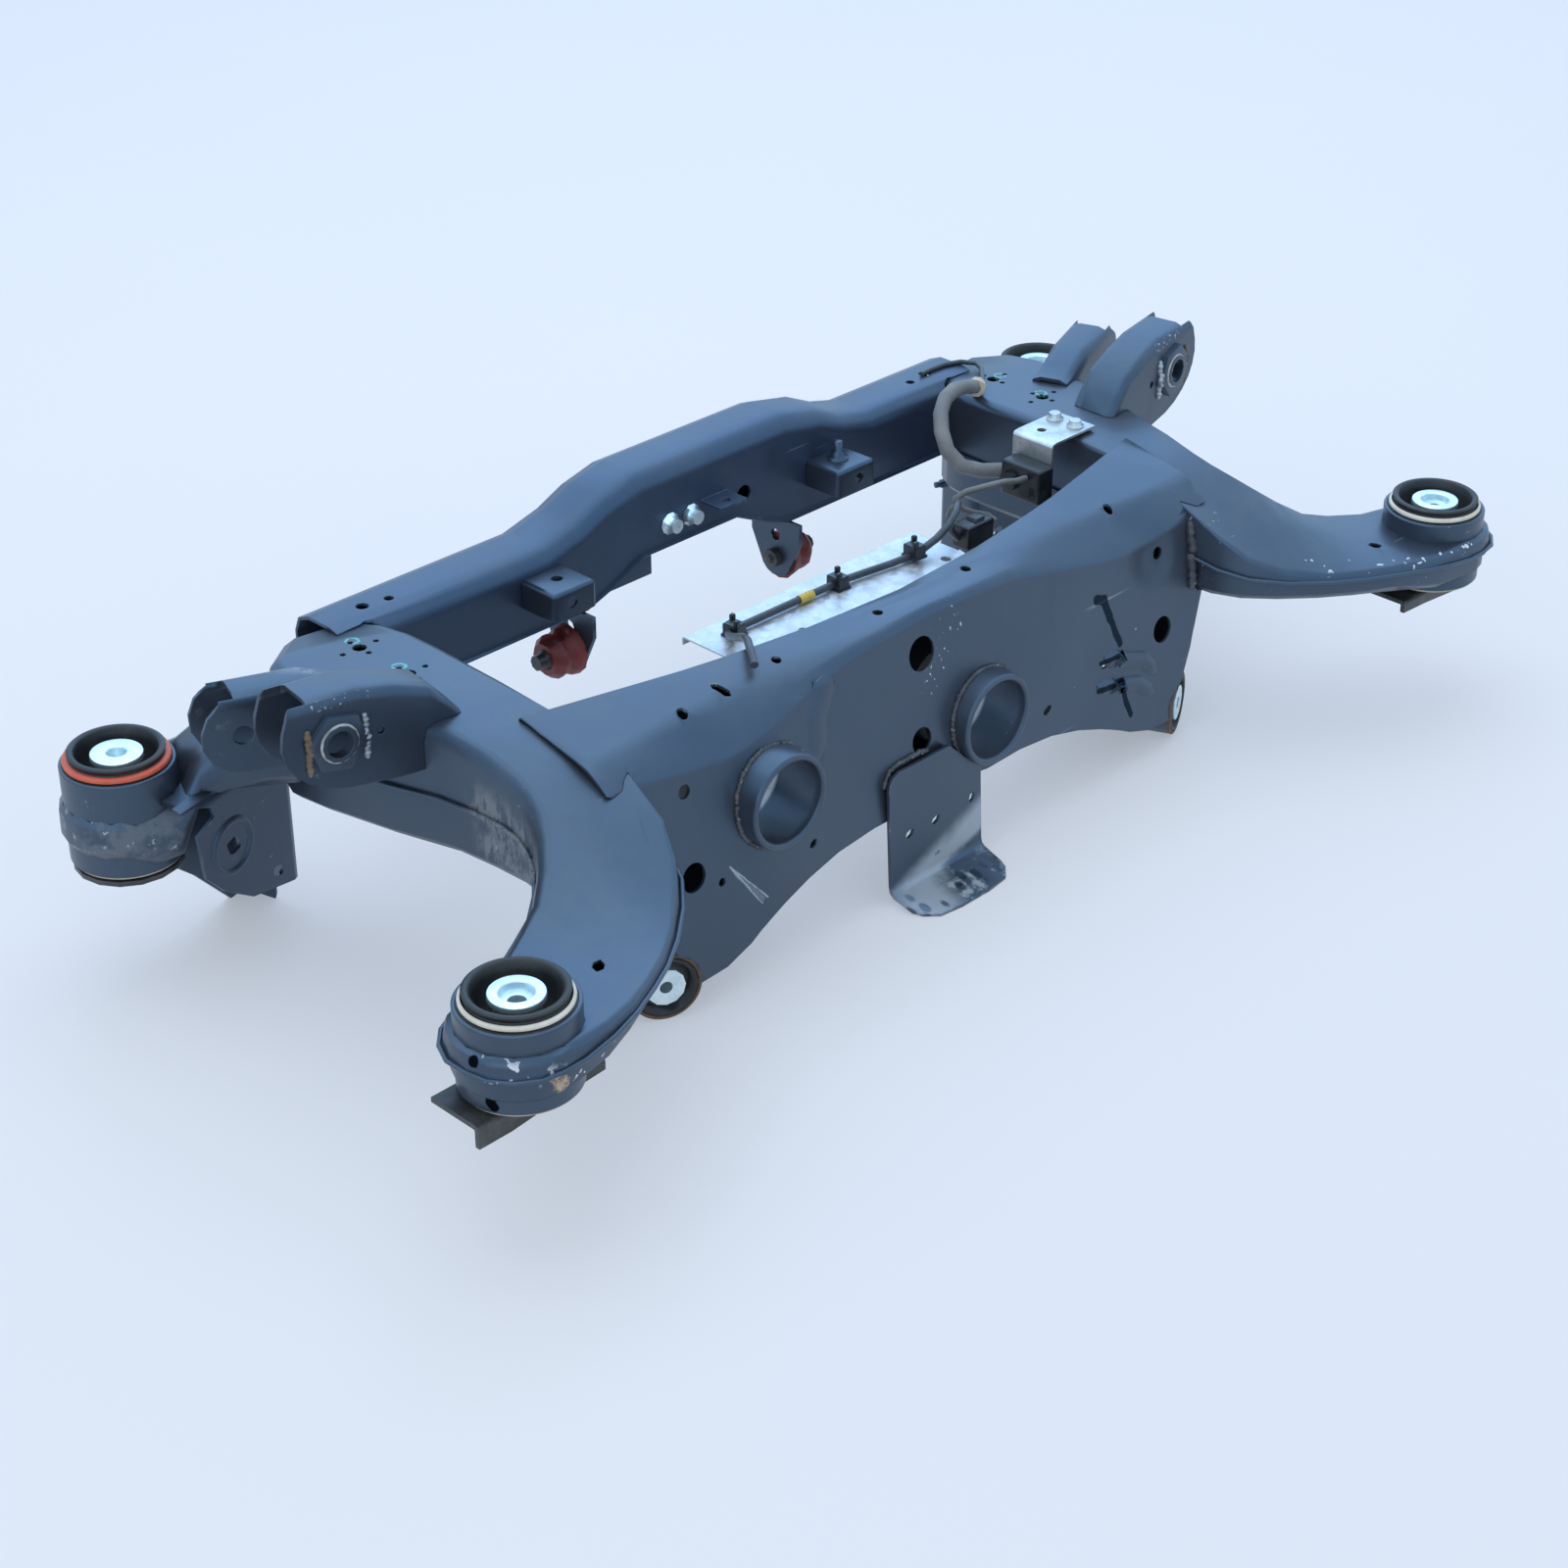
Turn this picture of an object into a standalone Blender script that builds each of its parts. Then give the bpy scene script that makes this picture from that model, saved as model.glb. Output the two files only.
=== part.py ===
import math

import bmesh
import bpy
from mathutils import Matrix, Vector

# Rear subframe. X runs across the car, -Y is the near (deep crossmember) side, Z is up.
# Heights below are measured from the top faces of the body mounts.

# Layout
FLOOR_DROP = 0.180
CENTRE_Y = -0.00265
MOUNT_HALF_TRACK = 0.530
MOUNT_HALF_BASE = 0.225
RAIL_INNER_X = 0.318
RAIL_TOP = 0.055
ARM_TOP = -0.022
SHEET = 0.0026
GAP = 0.0003
SEAM_LIP = 0.0030

# Body mounts
MOUNT_SHELL_R = 0.0500
COLLAR_R = 0.0434
COLLAR_WALL = 0.0030
COLLAR_TOP = -0.006
NEAR_MOUNT_BOTTOM = -0.068
FAR_MOUNT_BOTTOM = -0.084
INSERT_R = 0.0200
INSERT_BORE_R = 0.0065
INSERT_SINK_R = 0.0118
LIP_INNER_R = 0.0306
RING_R = 0.0388
STOP_HALF_WIDTH = 0.056
STOP_SHEET = 0.004
STOP_FLANGE = 0.018
STOP_BORE_R = 0.0075

# Near crossmember
FACE_Y = -0.120
FACE_LEAN = 0.13
BOX_HALF_WIDTH = 0.347
TUBE_R = 0.0390
TUBE_WALL = 0.0038
TUBE_PROUD = 0.013
LEFT_TUBE_X = -0.193
LEFT_TUBE_Z = -0.033
RIGHT_TUBE_X = 0.048
RIGHT_TUBE_Z = -0.060

# Lower link sleeves
SLEEVE_R = 0.0285
SLEEVE_WALL = 0.0028
SLEEVE_LENGTH = 0.058
SLEEVE_X = 0.307
SLEEVE_FRONT_Y = -0.128
SLEEVE_SPLAY = math.radians(25)

# Far crossmember
BEAM_FRONT_Y = 0.160
BEAM_BACK_Y = 0.222
BEAM_TOP = 0.0585
BEAM_BOTTOM = -0.008
BEAM_HUMP = 0.031
BEAM_HALF_WIDTH = 0.362
BEAM_STEP_X = 0.117

# Far arms
FAR_ARM_R = 0.0285

# Link brackets
LINK_SHEET = 0.0034
EAR_SPAN = 0.043
EAR_SPLAY = math.radians(9)
EAR_HOLE_R = 0.0085
LOWER_SPAN = 0.062

# Small parts
BOLT_R = 0.0040
CABLE_R = 0.0033
LEAD_R = 0.0068


def clear_scene():
    for old in list(bpy.data.objects):
        bpy.data.objects.remove(old, do_unlink=True)


def paint(name, colour, roughness, metallic):
    material = bpy.data.materials.new(name)
    material.use_nodes = True
    shader = material.node_tree.nodes["Principled BSDF"]
    shader.inputs["Base Color"].default_value = (*colour, 1.0)
    shader.inputs["Roughness"].default_value = roughness
    shader.inputs["Metallic"].default_value = metallic
    return material


clear_scene()
origin = bpy.data.objects.new("subframe_origin", None)
bpy.context.scene.collection.objects.link(origin)
origin.location = (0.0, -CENTRE_Y, FLOOR_DROP)

frame_paint = paint("frame_paint", (0.075, 0.095, 0.135), 0.42, 0.2)
bracket_paint = paint("bracket_paint", (0.045, 0.055, 0.075), 0.45, 0.2)
rubber = paint("rubber", (0.012, 0.012, 0.014), 0.6, 0.0)
zinc = paint("zinc", (0.62, 0.68, 0.70), 0.35, 0.9)
galvanised = paint("galvanised", (0.55, 0.60, 0.66), 0.45, 0.8)
red_rubber = paint("red_rubber", (0.42, 0.06, 0.05), 0.6, 0.0)
black_plastic = paint("black_plastic", (0.015, 0.017, 0.022), 0.4, 0.0)
grey_sleeve = paint("grey_sleeve", (0.22, 0.23, 0.24), 0.6, 0.0)
black_steel = paint("black_steel", (0.02, 0.02, 0.022), 0.45, 0.6)


# Tools
def interp(x, table):
    if x <= table[0][0]:
        return table[0][1]
    for (x0, v0), (x1, v1) in zip(table, table[1:]):
        if x <= x1:
            return v0 + (v1 - v0) * (x - x0) / (x1 - x0)
    return table[-1][1]


def arc(cx, cy, r, start, end, steps):
    angles = [math.radians(start + (end - start) * k / steps) for k in range(steps + 1)]
    return [(cx + r * math.cos(a), cy + r * math.sin(a)) for a in angles]


def lathe(profile, segments=32):
    bm = bmesh.new()
    turns = [2 * math.pi * k / segments for k in range(segments)]
    rings = []
    for r, z in profile:
        if r < 1e-6:
            rings.append([bm.verts.new((0, 0, z))])
        else:
            rings.append([bm.verts.new((r * math.cos(a), r * math.sin(a), z)) for a in turns])
    for a, b in zip(rings, rings[1:] + rings[:1]):
        for k in range(segments):
            j = (k + 1) % segments
            corners = [a[k % len(a)], a[j % len(a)], b[j % len(b)], b[k % len(b)]]
            corners = list(dict.fromkeys(corners))
            if len(corners) > 2:
                bm.faces.new(corners)
    bmesh.ops.recalc_face_normals(bm, faces=bm.faces)
    return bm


def prism(outline, depth):
    """A plate: the outline lies in XY, and the plate runs from z = 0 to depth."""
    bm = bmesh.new()
    low = [bm.verts.new((x, y, 0)) for x, y in outline]
    high = [bm.verts.new((x, y, depth)) for x, y in outline]
    bm.faces.new(low)
    bm.faces.new(high)
    for k in range(len(outline)):
        j = (k + 1) % len(outline)
        bm.faces.new((low[k], low[j], high[j], high[k]))
    bmesh.ops.recalc_face_normals(bm, faces=bm.faces)
    return bm


def block(lo, hi, bevel=0.0, segments=2, pick=None):
    bm = bmesh.new()
    bmesh.ops.create_cube(bm, size=1.0)
    size = [b - a for a, b in zip(lo, hi)]
    middle = [(a + b) / 2 for a, b in zip(lo, hi)]
    bmesh.ops.scale(bm, vec=size, verts=bm.verts)
    bmesh.ops.translate(bm, vec=middle, verts=bm.verts)
    if bevel:
        edges = [e for e in bm.edges if pick is None or pick(e)]
        bmesh.ops.bevel(bm, geom=edges, offset=bevel, segments=segments, profile=0.5,
                        affect="EDGES", clamp_overlap=True)
    bmesh.ops.recalc_face_normals(bm, faces=bm.faces)
    return bm


def turned(bm, matrix):
    bmesh.ops.transform(bm, matrix=matrix, verts=bm.verts)
    return bm


def frame_matrix(point, z_axis, x_hint=None):
    z = Vector(z_axis).normalized()
    x = Vector(x_hint or ((0, 0, 1) if abs(z.x) > 0.9 else (1, 0, 0)))
    x = (x - x.dot(z) * z).normalized()
    y = z.cross(x)
    matrix = Matrix((x, y, z)).transposed().to_4x4()
    matrix.translation = Vector(point)
    return matrix


def rod(point, axis, radius, length, segments=12):
    """A cylinder centred on the point."""
    half = length / 2
    profile = [(0, -half), (radius, -half), (radius, half), (0, half)]
    return turned(lathe(profile, segments), frame_matrix(point, axis))


def slot_rod(point, axis, along, length, width, depth):
    half = (length - width) / 2
    r = width / 2
    outline = arc(half, 0, r, -90, 90, 2) + arc(-half, 0, r, 90, 270, 2)
    bm = turned(prism(outline, depth), Matrix.Translation((0, 0, -depth / 2)))
    return turned(bm, frame_matrix(point, axis, along))


def joined(parts):
    bm = bmesh.new()
    for piece in parts:
        scratch = bpy.data.meshes.new("scratch")
        piece.to_mesh(scratch)
        piece.free()
        bm.from_mesh(scratch)
        bpy.data.meshes.remove(scratch)
    return bm


def mirrored(bm):
    bmesh.ops.scale(bm, vec=(-1, 1, 1), verts=bm.verts)
    bmesh.ops.reverse_faces(bm, faces=bm.faces)
    return bm


def link(name, bm, material, mirror=False):
    if mirror:
        mirrored(bm)
    mesh = bpy.data.meshes.new(name)
    bm.to_mesh(mesh)
    bm.free()
    mesh.materials.append(material)
    mesh.shade_smooth()
    mesh.set_sharp_from_angle(angle=math.radians(40))
    obj = bpy.data.objects.new(name, mesh)
    obj.parent = origin
    bpy.context.scene.collection.objects.link(obj)
    return obj


def guide(name, bm, mirror=False):
    obj = link(name, bm, frame_paint, mirror)
    obj.hide_render = True
    obj.display_type = "WIRE"
    return obj


def boolean(obj, other, operation="DIFFERENCE"):
    modifier = obj.modifiers.new(operation.lower(), "BOOLEAN")
    modifier.operation = operation
    modifier.solver = "EXACT"
    modifier.object = other
    return modifier


def sheet(obj, thickness=SHEET):
    modifier = obj.modifiers.new("sheet", "SOLIDIFY")
    modifier.thickness = thickness
    modifier.offset = -1.0
    modifier.use_even_offset = True
    modifier.use_rim = True
    modifier.thickness_clamp = 0.0
    return modifier


def emit(name, bm, material, mirror=False, thickness=0.0, cuts=(), keep=None, adds=()):
    """One named piece: an optional sheet thickness, then unions, a trim and its holes."""
    obj = link(name, bm, material, mirror)
    if thickness:
        sheet(obj, thickness)
    for number, piece in enumerate(adds):
        boolean(obj, guide(name + "_add%d" % number, piece, mirror), "UNION")
    if keep is not None:
        boolean(obj, guide(name + "_keep", keep, mirror), "INTERSECT")
    loose = [c for c in cuts if not isinstance(c, bpy.types.Object)]
    for cutter in [c for c in cuts if isinstance(c, bpy.types.Object)]:
        boolean(obj, cutter)
    if loose:
        boolean(obj, guide(name + "_cuts", joined(loose), mirror))
    return obj


def both(name, make):
    """Builds the right-hand piece and its mirror image."""
    for side, mirror in (("right", False), ("left", True)):
        make(name + "_" + side, mirror)


# Side rails: each is two pressings, lofted from the near mount to the far crossmember.
# A station holds the near and far wall points in the plan, as shares of the way from
# the rail's inner wall to the mount and of the mount's distance from the middle, then
# the top, seam and bottom heights at both walls, and the inner edge's radius.
RAIL_STATIONS = [
    ((0.936, 1.213), (1.064, 0.787), -0.022, -0.022, -0.037, -0.037, -0.062, 0.006),
    ((0.802, 1.200), (0.858, 0.747), -0.023, -0.020, -0.034, -0.034, -0.059, 0.006),
    ((0.679, 1.169), (0.693, 0.667), -0.023, -0.016, -0.032, -0.031, -0.054, 0.006),
    ((0.557, 1.120), (0.580, 0.609), -0.023, -0.009, -0.031, -0.029, -0.051, 0.006),
    ((0.439, 1.062), (0.491, 0.542), -0.023, 0.004, -0.031, -0.025, -0.050, 0.006),
    ((0.311, 0.978), (0.425, 0.476), -0.023, 0.017, -0.031, -0.018, -0.050, 0.006),
    ((0.179, 0.871), (0.387, 0.409), -0.018, 0.027, -0.030, -0.012, -0.050, 0.006),
    ((0.075, 0.764), (0.368, 0.338), -0.006, 0.034, -0.027, -0.007, -0.050, 0.006),
    ((0.019, 0.658), (0.363, 0.258), 0.009, 0.040, -0.022, -0.005, -0.050, 0.004),
    ((0.000, 0.460), (0.373, 0.130), 0.031, 0.048, -0.014, -0.004, -0.050, 0.002),
    ((0.000, 0.222), (0.396, -0.022), 0.047, 0.053, -0.009, -0.004, -0.050, 0.002),
    ((0.000, -0.133), (0.472, -0.244), 0.055, 0.055, -0.004, -0.004, -0.050, 0.009),
    ((-0.009, -0.467), (0.538, -0.511), 0.055, 0.055, -0.004, -0.004, -0.050, 0.009),
    ((-0.005, -0.600), (0.557, -0.644), 0.055, 0.055, -0.004, -0.004, -0.050, 0.009),
    ((0.019, -0.711), (0.519, -0.756), 0.055, 0.055, -0.004, -0.004, -0.050, 0.009),
    ((0.080, -0.800), (0.387, -0.844), 0.055, 0.055, -0.004, -0.004, -0.050, 0.009),
]
RAIL_OUTER_RADIUS = 0.013


def rail_point(share):
    x = RAIL_INNER_X + share[0] * (MOUNT_HALF_TRACK - RAIL_INNER_X)
    return Vector((x, -share[1] * MOUNT_HALF_BASE, 0))


def rail_top(z):
    """Heights in the table run from the arm's top to the rail's top."""
    share = (z + 0.022) / 0.077
    return ARM_TOP + share * (RAIL_TOP - ARM_TOP)


def upper_profile(width, top_n, top_f, seam_n, seam_f, radius, grow=0.0):
    """(distance from the near wall, height), from the near seam over the top to the far."""
    rn = min(radius, (top_n - seam_n) * 0.55)
    rf = min(RAIL_OUTER_RADIUS, (top_f - seam_f) * 0.6)
    g = grow
    points = [(-SEAM_LIP - g, seam_n - g), (-g, seam_n + 0.003)]
    points += arc(rn, top_n - rn, rn + g, 180, 90, 2)
    points.append((width * 0.5, (top_n + top_f) / 2 + g))
    points += arc(width - rf, top_f - rf, rf + g, 90, 0, 2)
    points += [(width + g, seam_f + 0.003), (width + SEAM_LIP + g, seam_f - g)]
    return points


def rail_skews():
    """How much longer a wall's thickness is along each station's line than square to the wall."""
    skews = []
    last = len(RAIL_STATIONS) - 1
    for k, station in enumerate(RAIL_STATIONS):
        across = (rail_point(station[1]) - rail_point(station[0])).normalized()
        pair = []
        for side in (0, 1):
            worst = 1.0
            for a, b in ((k - 1, k), (k, k + 1)):
                if a >= 0 and b <= last:
                    run = rail_point(RAIL_STATIONS[b][side]) - rail_point(RAIL_STATIONS[a][side])
                    square = Vector((-run.y, run.x, 0)).normalized()
                    worst = max(worst, 1 / max(abs(square.dot(across)), 0.3))
            pair.append(worst)
        skews.append(pair)
    return skews


def lower_profile(width, seam_n, seam_f, bottom, skew=(1.0, 1.0), grow=0.0):
    near, far = ((SHEET + 3 * GAP) * share - grow for share in skew)
    r = 0.007
    points = [(near, seam_n + 0.0025)]
    points += arc(near + r, bottom + r, r + grow, 180, 270, 1)
    points.append((width * 0.5, bottom - grow))
    points += arc(width - far - r, bottom + r, r + grow, 270, 360, 1)
    points += [(width - far, seam_f + 0.0025)]
    return points


def loft(stations, profile_of, centre, fan, cap=True):
    """A grid over the stations, closed round the mount by a half-turn fan, all in triangles.

    profile_of gives a list of (distance from the near wall, height) with its middle
    point on the centre line.
    """
    bm = bmesh.new()
    rows = []
    for station in stations:
        near, far = rail_point(station[0]), rail_point(station[1])
        across = (far - near)
        width = across.length
        across.normalize()
        row = [near + across * s + Vector((0, 0, z)) for s, z in profile_of(station, width)]
        rows.append(row)
    count = len(rows[0])
    middle = count // 2
    verts = [[bm.verts.new(p) for p in row] for row in rows]
    last = stations[0]
    near, far = rail_point(last[0]), rail_point(last[1])
    half = (far - near).length / 2
    profile = profile_of(last, half * 2)[: middle + 1]
    start = near - centre
    angle = math.atan2(start.y, start.x)
    fans = []
    for k in range(1, fan):
        a = angle + math.pi * k / fan
        way = Vector((math.cos(a), math.sin(a), 0))
        ring = [centre + way * (half - s) + Vector((0, 0, z)) for s, z in profile[:middle]]
        fans.append([bm.verts.new(p) for p in ring] + [verts[0][middle]])
    first = verts[0][: middle + 1]
    final = list(reversed(verts[0][middle:]))
    chain = [first] + fans + [final]
    for a, b in zip(chain, chain[1:]):
        for j in range(middle):
            triangles(bm, a[j], a[j + 1], b[j + 1], b[j])
    for a, b in zip(verts, verts[1:]):
        for j in range(count - 1):
            triangles(bm, b[j], b[j + 1], a[j + 1], a[j])
    if cap:
        bm.faces.new(verts[-1])
    return bm, chain, verts


def triangles(bm, a, b, c, d):
    corners = list(dict.fromkeys((a, b, c, d)))
    if len(corners) == 4:
        bm.faces.new((a, b, c))
        bm.faces.new((a, c, d))
    elif len(corners) == 3:
        bm.faces.new(corners)


def face_up(bm, probe):
    """Turns an open pressing so that the face nearest to the probe looks along +Z."""
    bmesh.ops.recalc_face_normals(bm, faces=bm.faces)
    bm.normal_update()
    face = min(bm.faces, key=lambda f: (f.calc_center_median() - probe).length)
    if face.normal.z < 0:
        bmesh.ops.reverse_faces(bm, faces=bm.faces)


MOUNT_FAN = 9
MOUNT_SIDES = 16
TUBE_SIDES = 18
SLEEVE_SIDES = 14


def near_mount():
    return Vector((MOUNT_HALF_TRACK, -MOUNT_HALF_BASE, 0))


def far_mount():
    return Vector((MOUNT_HALF_TRACK, MOUNT_HALF_BASE, 0))


def rail_upper(grow=0.0):
    def profile(station, width):
        return upper_profile(width, rail_top(station[2]), rail_top(station[3]), station[4],
                             station[5], station[7], grow)
    bm, _, _ = loft(RAIL_STATIONS, profile, near_mount(), MOUNT_FAN)
    face_up(bm, rail_point((0.2, -0.2)) + Vector((0, 0, RAIL_TOP)))
    return bm


def drawn_back(stations, amount):
    """The stations with the last one moved back towards the one before it."""
    before, last = stations[-2:]
    run = (rail_point(last[0]) + rail_point(last[1]) - rail_point(before[0]) - rail_point(before[1])).length / 2
    share = 1 - amount / run

    def between(a, b):
        if isinstance(a, tuple):
            return tuple(between(p, q) for p, q in zip(a, b))
        return a + (b - a) * share

    return stations[:-1] + [between(before, last)]


def rail_lower():
    skews = rail_skews()
    stations = drawn_back(RAIL_STATIONS, SHEET + 4 * GAP)

    def profile(station, width):
        skew = skews[stations.index(station)]
        return lower_profile(width, station[4], station[5], station[6], skew)
    bm, _, _ = loft(stations, profile, near_mount(), MOUNT_FAN)
    face_up(bm, rail_point((0.2, -0.2)) + Vector((0, 0, -0.05)))
    bmesh.ops.reverse_faces(bm, faces=bm.faces)
    return bm


def rail_hull(grow):
    """The rail's closed outer form, used to cut what butts against it."""
    def profile(station, width):
        over = upper_profile(width, rail_top(station[2]), rail_top(station[3]), station[4],
                             station[5], station[7], grow)
        under = lower_profile(width, station[4], station[5], station[6], (1.0, 1.0), grow + GAP)
        lip = SEAM_LIP + 1.5 * grow
        over[0] = (-lip, station[4] + grow)
        over[-1] = (width + lip, station[5] + grow)
        under[0] = (-lip, station[4] - SHEET - grow)
        under[-1] = (width + lip, station[5] - SHEET - grow)
        return over + list(reversed(under))
    bm = bmesh.new()
    rows = []
    for index, station in enumerate(RAIL_STATIONS):
        near, far = rail_point(station[0]), rail_point(station[1])
        across = (far - near)
        width = across.length
        across.normalize()
        row = [near + across * s + Vector((0, 0, z)) for s, z in profile(station, width)]
        if index == len(RAIL_STATIONS) - 1:
            back = (rail_point(RAIL_STATIONS[-1][1]) - near).cross(Vector((0, 0, 1))).normalized()
            shift = -back if back.y < 0 else back
            row = [p + shift * grow for p in row]
        rows.append([bm.verts.new(p) for p in row])
    for a, b in zip(rows, rows[1:]):
        for j in range(len(a)):
            i = (j + 1) % len(a)
            triangles(bm, b[j], b[i], a[i], a[j])
    bm.faces.new(rows[0])
    bm.faces.new(rows[-1])
    bmesh.ops.recalc_face_normals(bm, faces=bm.faces)
    return bm


def hole_pattern(x, y, z):
    """One locating hole with four small ones round it."""
    cuts = [rod((x, y, z), (0, 0, 1), 0.0058, 0.03, 8)]
    for dx, dy in ((0.0158, 0), (-0.0158, 0), (0, 0.0112), (0, -0.0112)):
        cuts.append(rod((x + dx, y + dy, z), (0, 0, 1), 0.0027, 0.03, 5))
    return cuts


PLATE_HOLE_X = 0.3625
PLATE_HOLE_YS = (0.083, 0.141)
COLLAR_CLEAR = COLLAR_R + GAP


def collar_hole():
    centre = near_mount()
    return rod((centre.x, centre.y, -0.05), (0, 0, 1), COLLAR_CLEAR, 0.2, MOUNT_SIDES)


def build_rails():
    def upper(name, mirror):
        cuts = [collar_hole()]
        for y in PLATE_HOLE_YS:
            cuts += hole_pattern(PLATE_HOLE_X, y, RAIL_TOP)
        cuts.append(slot_rod((0.4524, -0.2184, -0.018), (0, 0, 1), (0.8, -0.6, 0), 0.013, 0.008, 0.02))
        emit(name, rail_upper(), frame_paint, mirror, SHEET, cuts)

    def lower(name, mirror):
        emit(name, rail_lower(), frame_paint, mirror, SHEET, [collar_hole()])

    both("rail_upper", upper)
    both("rail_lower", lower)


# Near crossmember: a front pressing (top plate and face) and a back pressing.
def box_back_y(ax):
    return interp(ax, [(0, -0.072), (0.10, -0.066), (0.20, -0.052), (0.30, -0.031), (0.35, -0.020)])


def box_back_z(ax):
    return RAIL_TOP - 0.005 + 0.003 * (ax / 0.32) ** 2


def box_front_z(ax):
    table = [(0, 0.049), (0.08, 0.045), (0.12, 0.040), (0.15, 0.031), (0.20, 0.020),
             (0.24, 0.0155), (0.28, 0.019), (0.32, 0.025), (0.35, 0.026)]
    return interp(ax, table) + RAIL_TOP - 0.055


def box_bottom_z(ax):
    return interp(ax, [(0, -0.102), (0.02, -0.1045), (0.048, -0.107), (0.076, -0.1065), (0.11, -0.107),
                       (0.155, -0.112), (0.20, -0.123), (0.25, -0.138), (0.29, -0.153), (0.35, -0.155)])


def face_y(x, z):
    bulge = 0.0
    for tube_x, tube_z, size in ((LEFT_TUBE_X, LEFT_TUBE_Z, 0.010), (RIGHT_TUBE_X, RIGHT_TUBE_Z, 0.003)):
        far = math.hypot(x - tube_x, (z - tube_z) * 0.8)
        bulge += size * 0.5 * (1 + math.cos(math.pi * min(far / 0.075, 1.0)))
    return FACE_Y + FACE_LEAN * z - bulge


def face_x(x, z):
    """The face narrows towards the lower link sleeves."""
    share = min(max((-0.065 - z) / 0.055, 0.0), 1.4)
    return x * (1 - 0.11 * share)


def dimple(x, y):
    """Drop of the top plate in the two pressed pockets."""
    ax = abs(x)
    far = math.hypot((ax - 0.252) / 0.026, (y + 0.103) / 0.015)
    return 0.0065 * 0.5 * (1 + math.cos(math.pi * min(far, 1.0)))


BOX_XS = [0.0, 0.05, 0.095, 0.14, 0.18, 0.215, 0.235, 0.252, 0.269, 0.300, 0.336, 0.347]


def box_front_row(x):
    ax = abs(x)
    turn = 0.0
    if ax > 0.336:
        turn = 0.004 if ax < 0.345 else 0.026
    by, bz, fz, low = box_back_y(ax), box_back_z(ax), box_front_z(ax), box_bottom_z(ax)
    front = face_y(x, fz)
    mid_y = min(-0.084, by - 0.011)
    mid_z = bz - 0.0025 - 0.010 * interp(ax, [(0.12, 0), (0.32, 1)])
    points = [(by, bz - 0.012), (by, bz - 0.004), (by - 0.004, bz), (mid_y, mid_z)]
    for share in (0.40, 0.78):
        y = mid_y + (front + 0.004 - mid_y) * share
        z = mid_z + (fz - mid_z) * share ** 1.5
        points.append((y, z - dimple(x, y)))
    points += [(front + 0.0018, fz - 0.0022), (front, fz - 0.008)]
    for share in (0.33, 0.67, 1.0):
        z = fz - 0.008 + (low - fz + 0.008) * share
        points.append((face_y(x, z), z))
    points.append((points[-1][0] + 0.009, low - 0.0004))
    return [Vector((face_x(x, z), y + (turn if k > 6 else 0), z)) for k, (y, z) in enumerate(points)]


def box_back_row(x):
    ax = abs(x)
    wall = box_back_y(ax) - SHEET - 2 * GAP
    low = box_bottom_z(ax) + SHEET + 2 * GAP
    front = face_y(x, low) + SHEET + 4 * GAP
    top = box_back_z(ax) - 0.0066
    points = [(wall, top)]
    points += [(wall - 0.001, low + 0.007), (wall - 0.007, low), (front, low)]
    return [Vector((face_x(x, z), y, z)) for y, z in points]


def strip(rows):
    bm = bmesh.new()
    verts = [[bm.verts.new(p) for p in row] for row in rows]
    for a, b in zip(verts, verts[1:]):
        for j in range(len(a) - 1):
            triangles(bm, a[j], a[j + 1], b[j + 1], b[j])
    return bm


def box_stations(limit):
    xs = [x for x in BOX_XS if x <= limit]
    return [-x for x in reversed(xs[1:])] + xs


def tube_centres():
    return ((LEFT_TUBE_X, LEFT_TUBE_Z), (RIGHT_TUBE_X, RIGHT_TUBE_Z))


def sleeve_axis():
    return Vector((math.sin(SLEEVE_SPLAY), -math.cos(SLEEVE_SPLAY), 0))


def sleeve_front():
    return Vector((SLEEVE_X, SLEEVE_FRONT_Y, SLEEVE_R - FLOOR_DROP))


def sleeve_cut(grow=GAP):
    middle = sleeve_front() - sleeve_axis() * SLEEVE_LENGTH * 0.5
    return rod(middle, sleeve_axis(), SLEEVE_R + grow, SLEEVE_LENGTH + 0.03, SLEEVE_SIDES)


FACE_HOLES = [(-0.018, 0.015, 0.0140), (-0.026, -0.055, 0.0105), (-0.250, -0.084, 0.0035)]
FACE_PAIRS = [(0.277, -0.069, 0.0115), (0.276, 0.000, 0.0055)]
FACE_SLOTS = [(-0.156, -0.090, 0.010, 0.006, 25), (0.124, -0.086, 0.012, 0.006, 25),
              (0.207, -0.0745, 0.024, 0.0035, 0), (0.206, -0.0975, 0.026, 0.0035, 0)]
TOP_HOLES = [(-0.146, -0.085, 0.0042), (-0.037, -0.088, 0.0045), (0.068, -0.086, 0.0045)]


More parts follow.
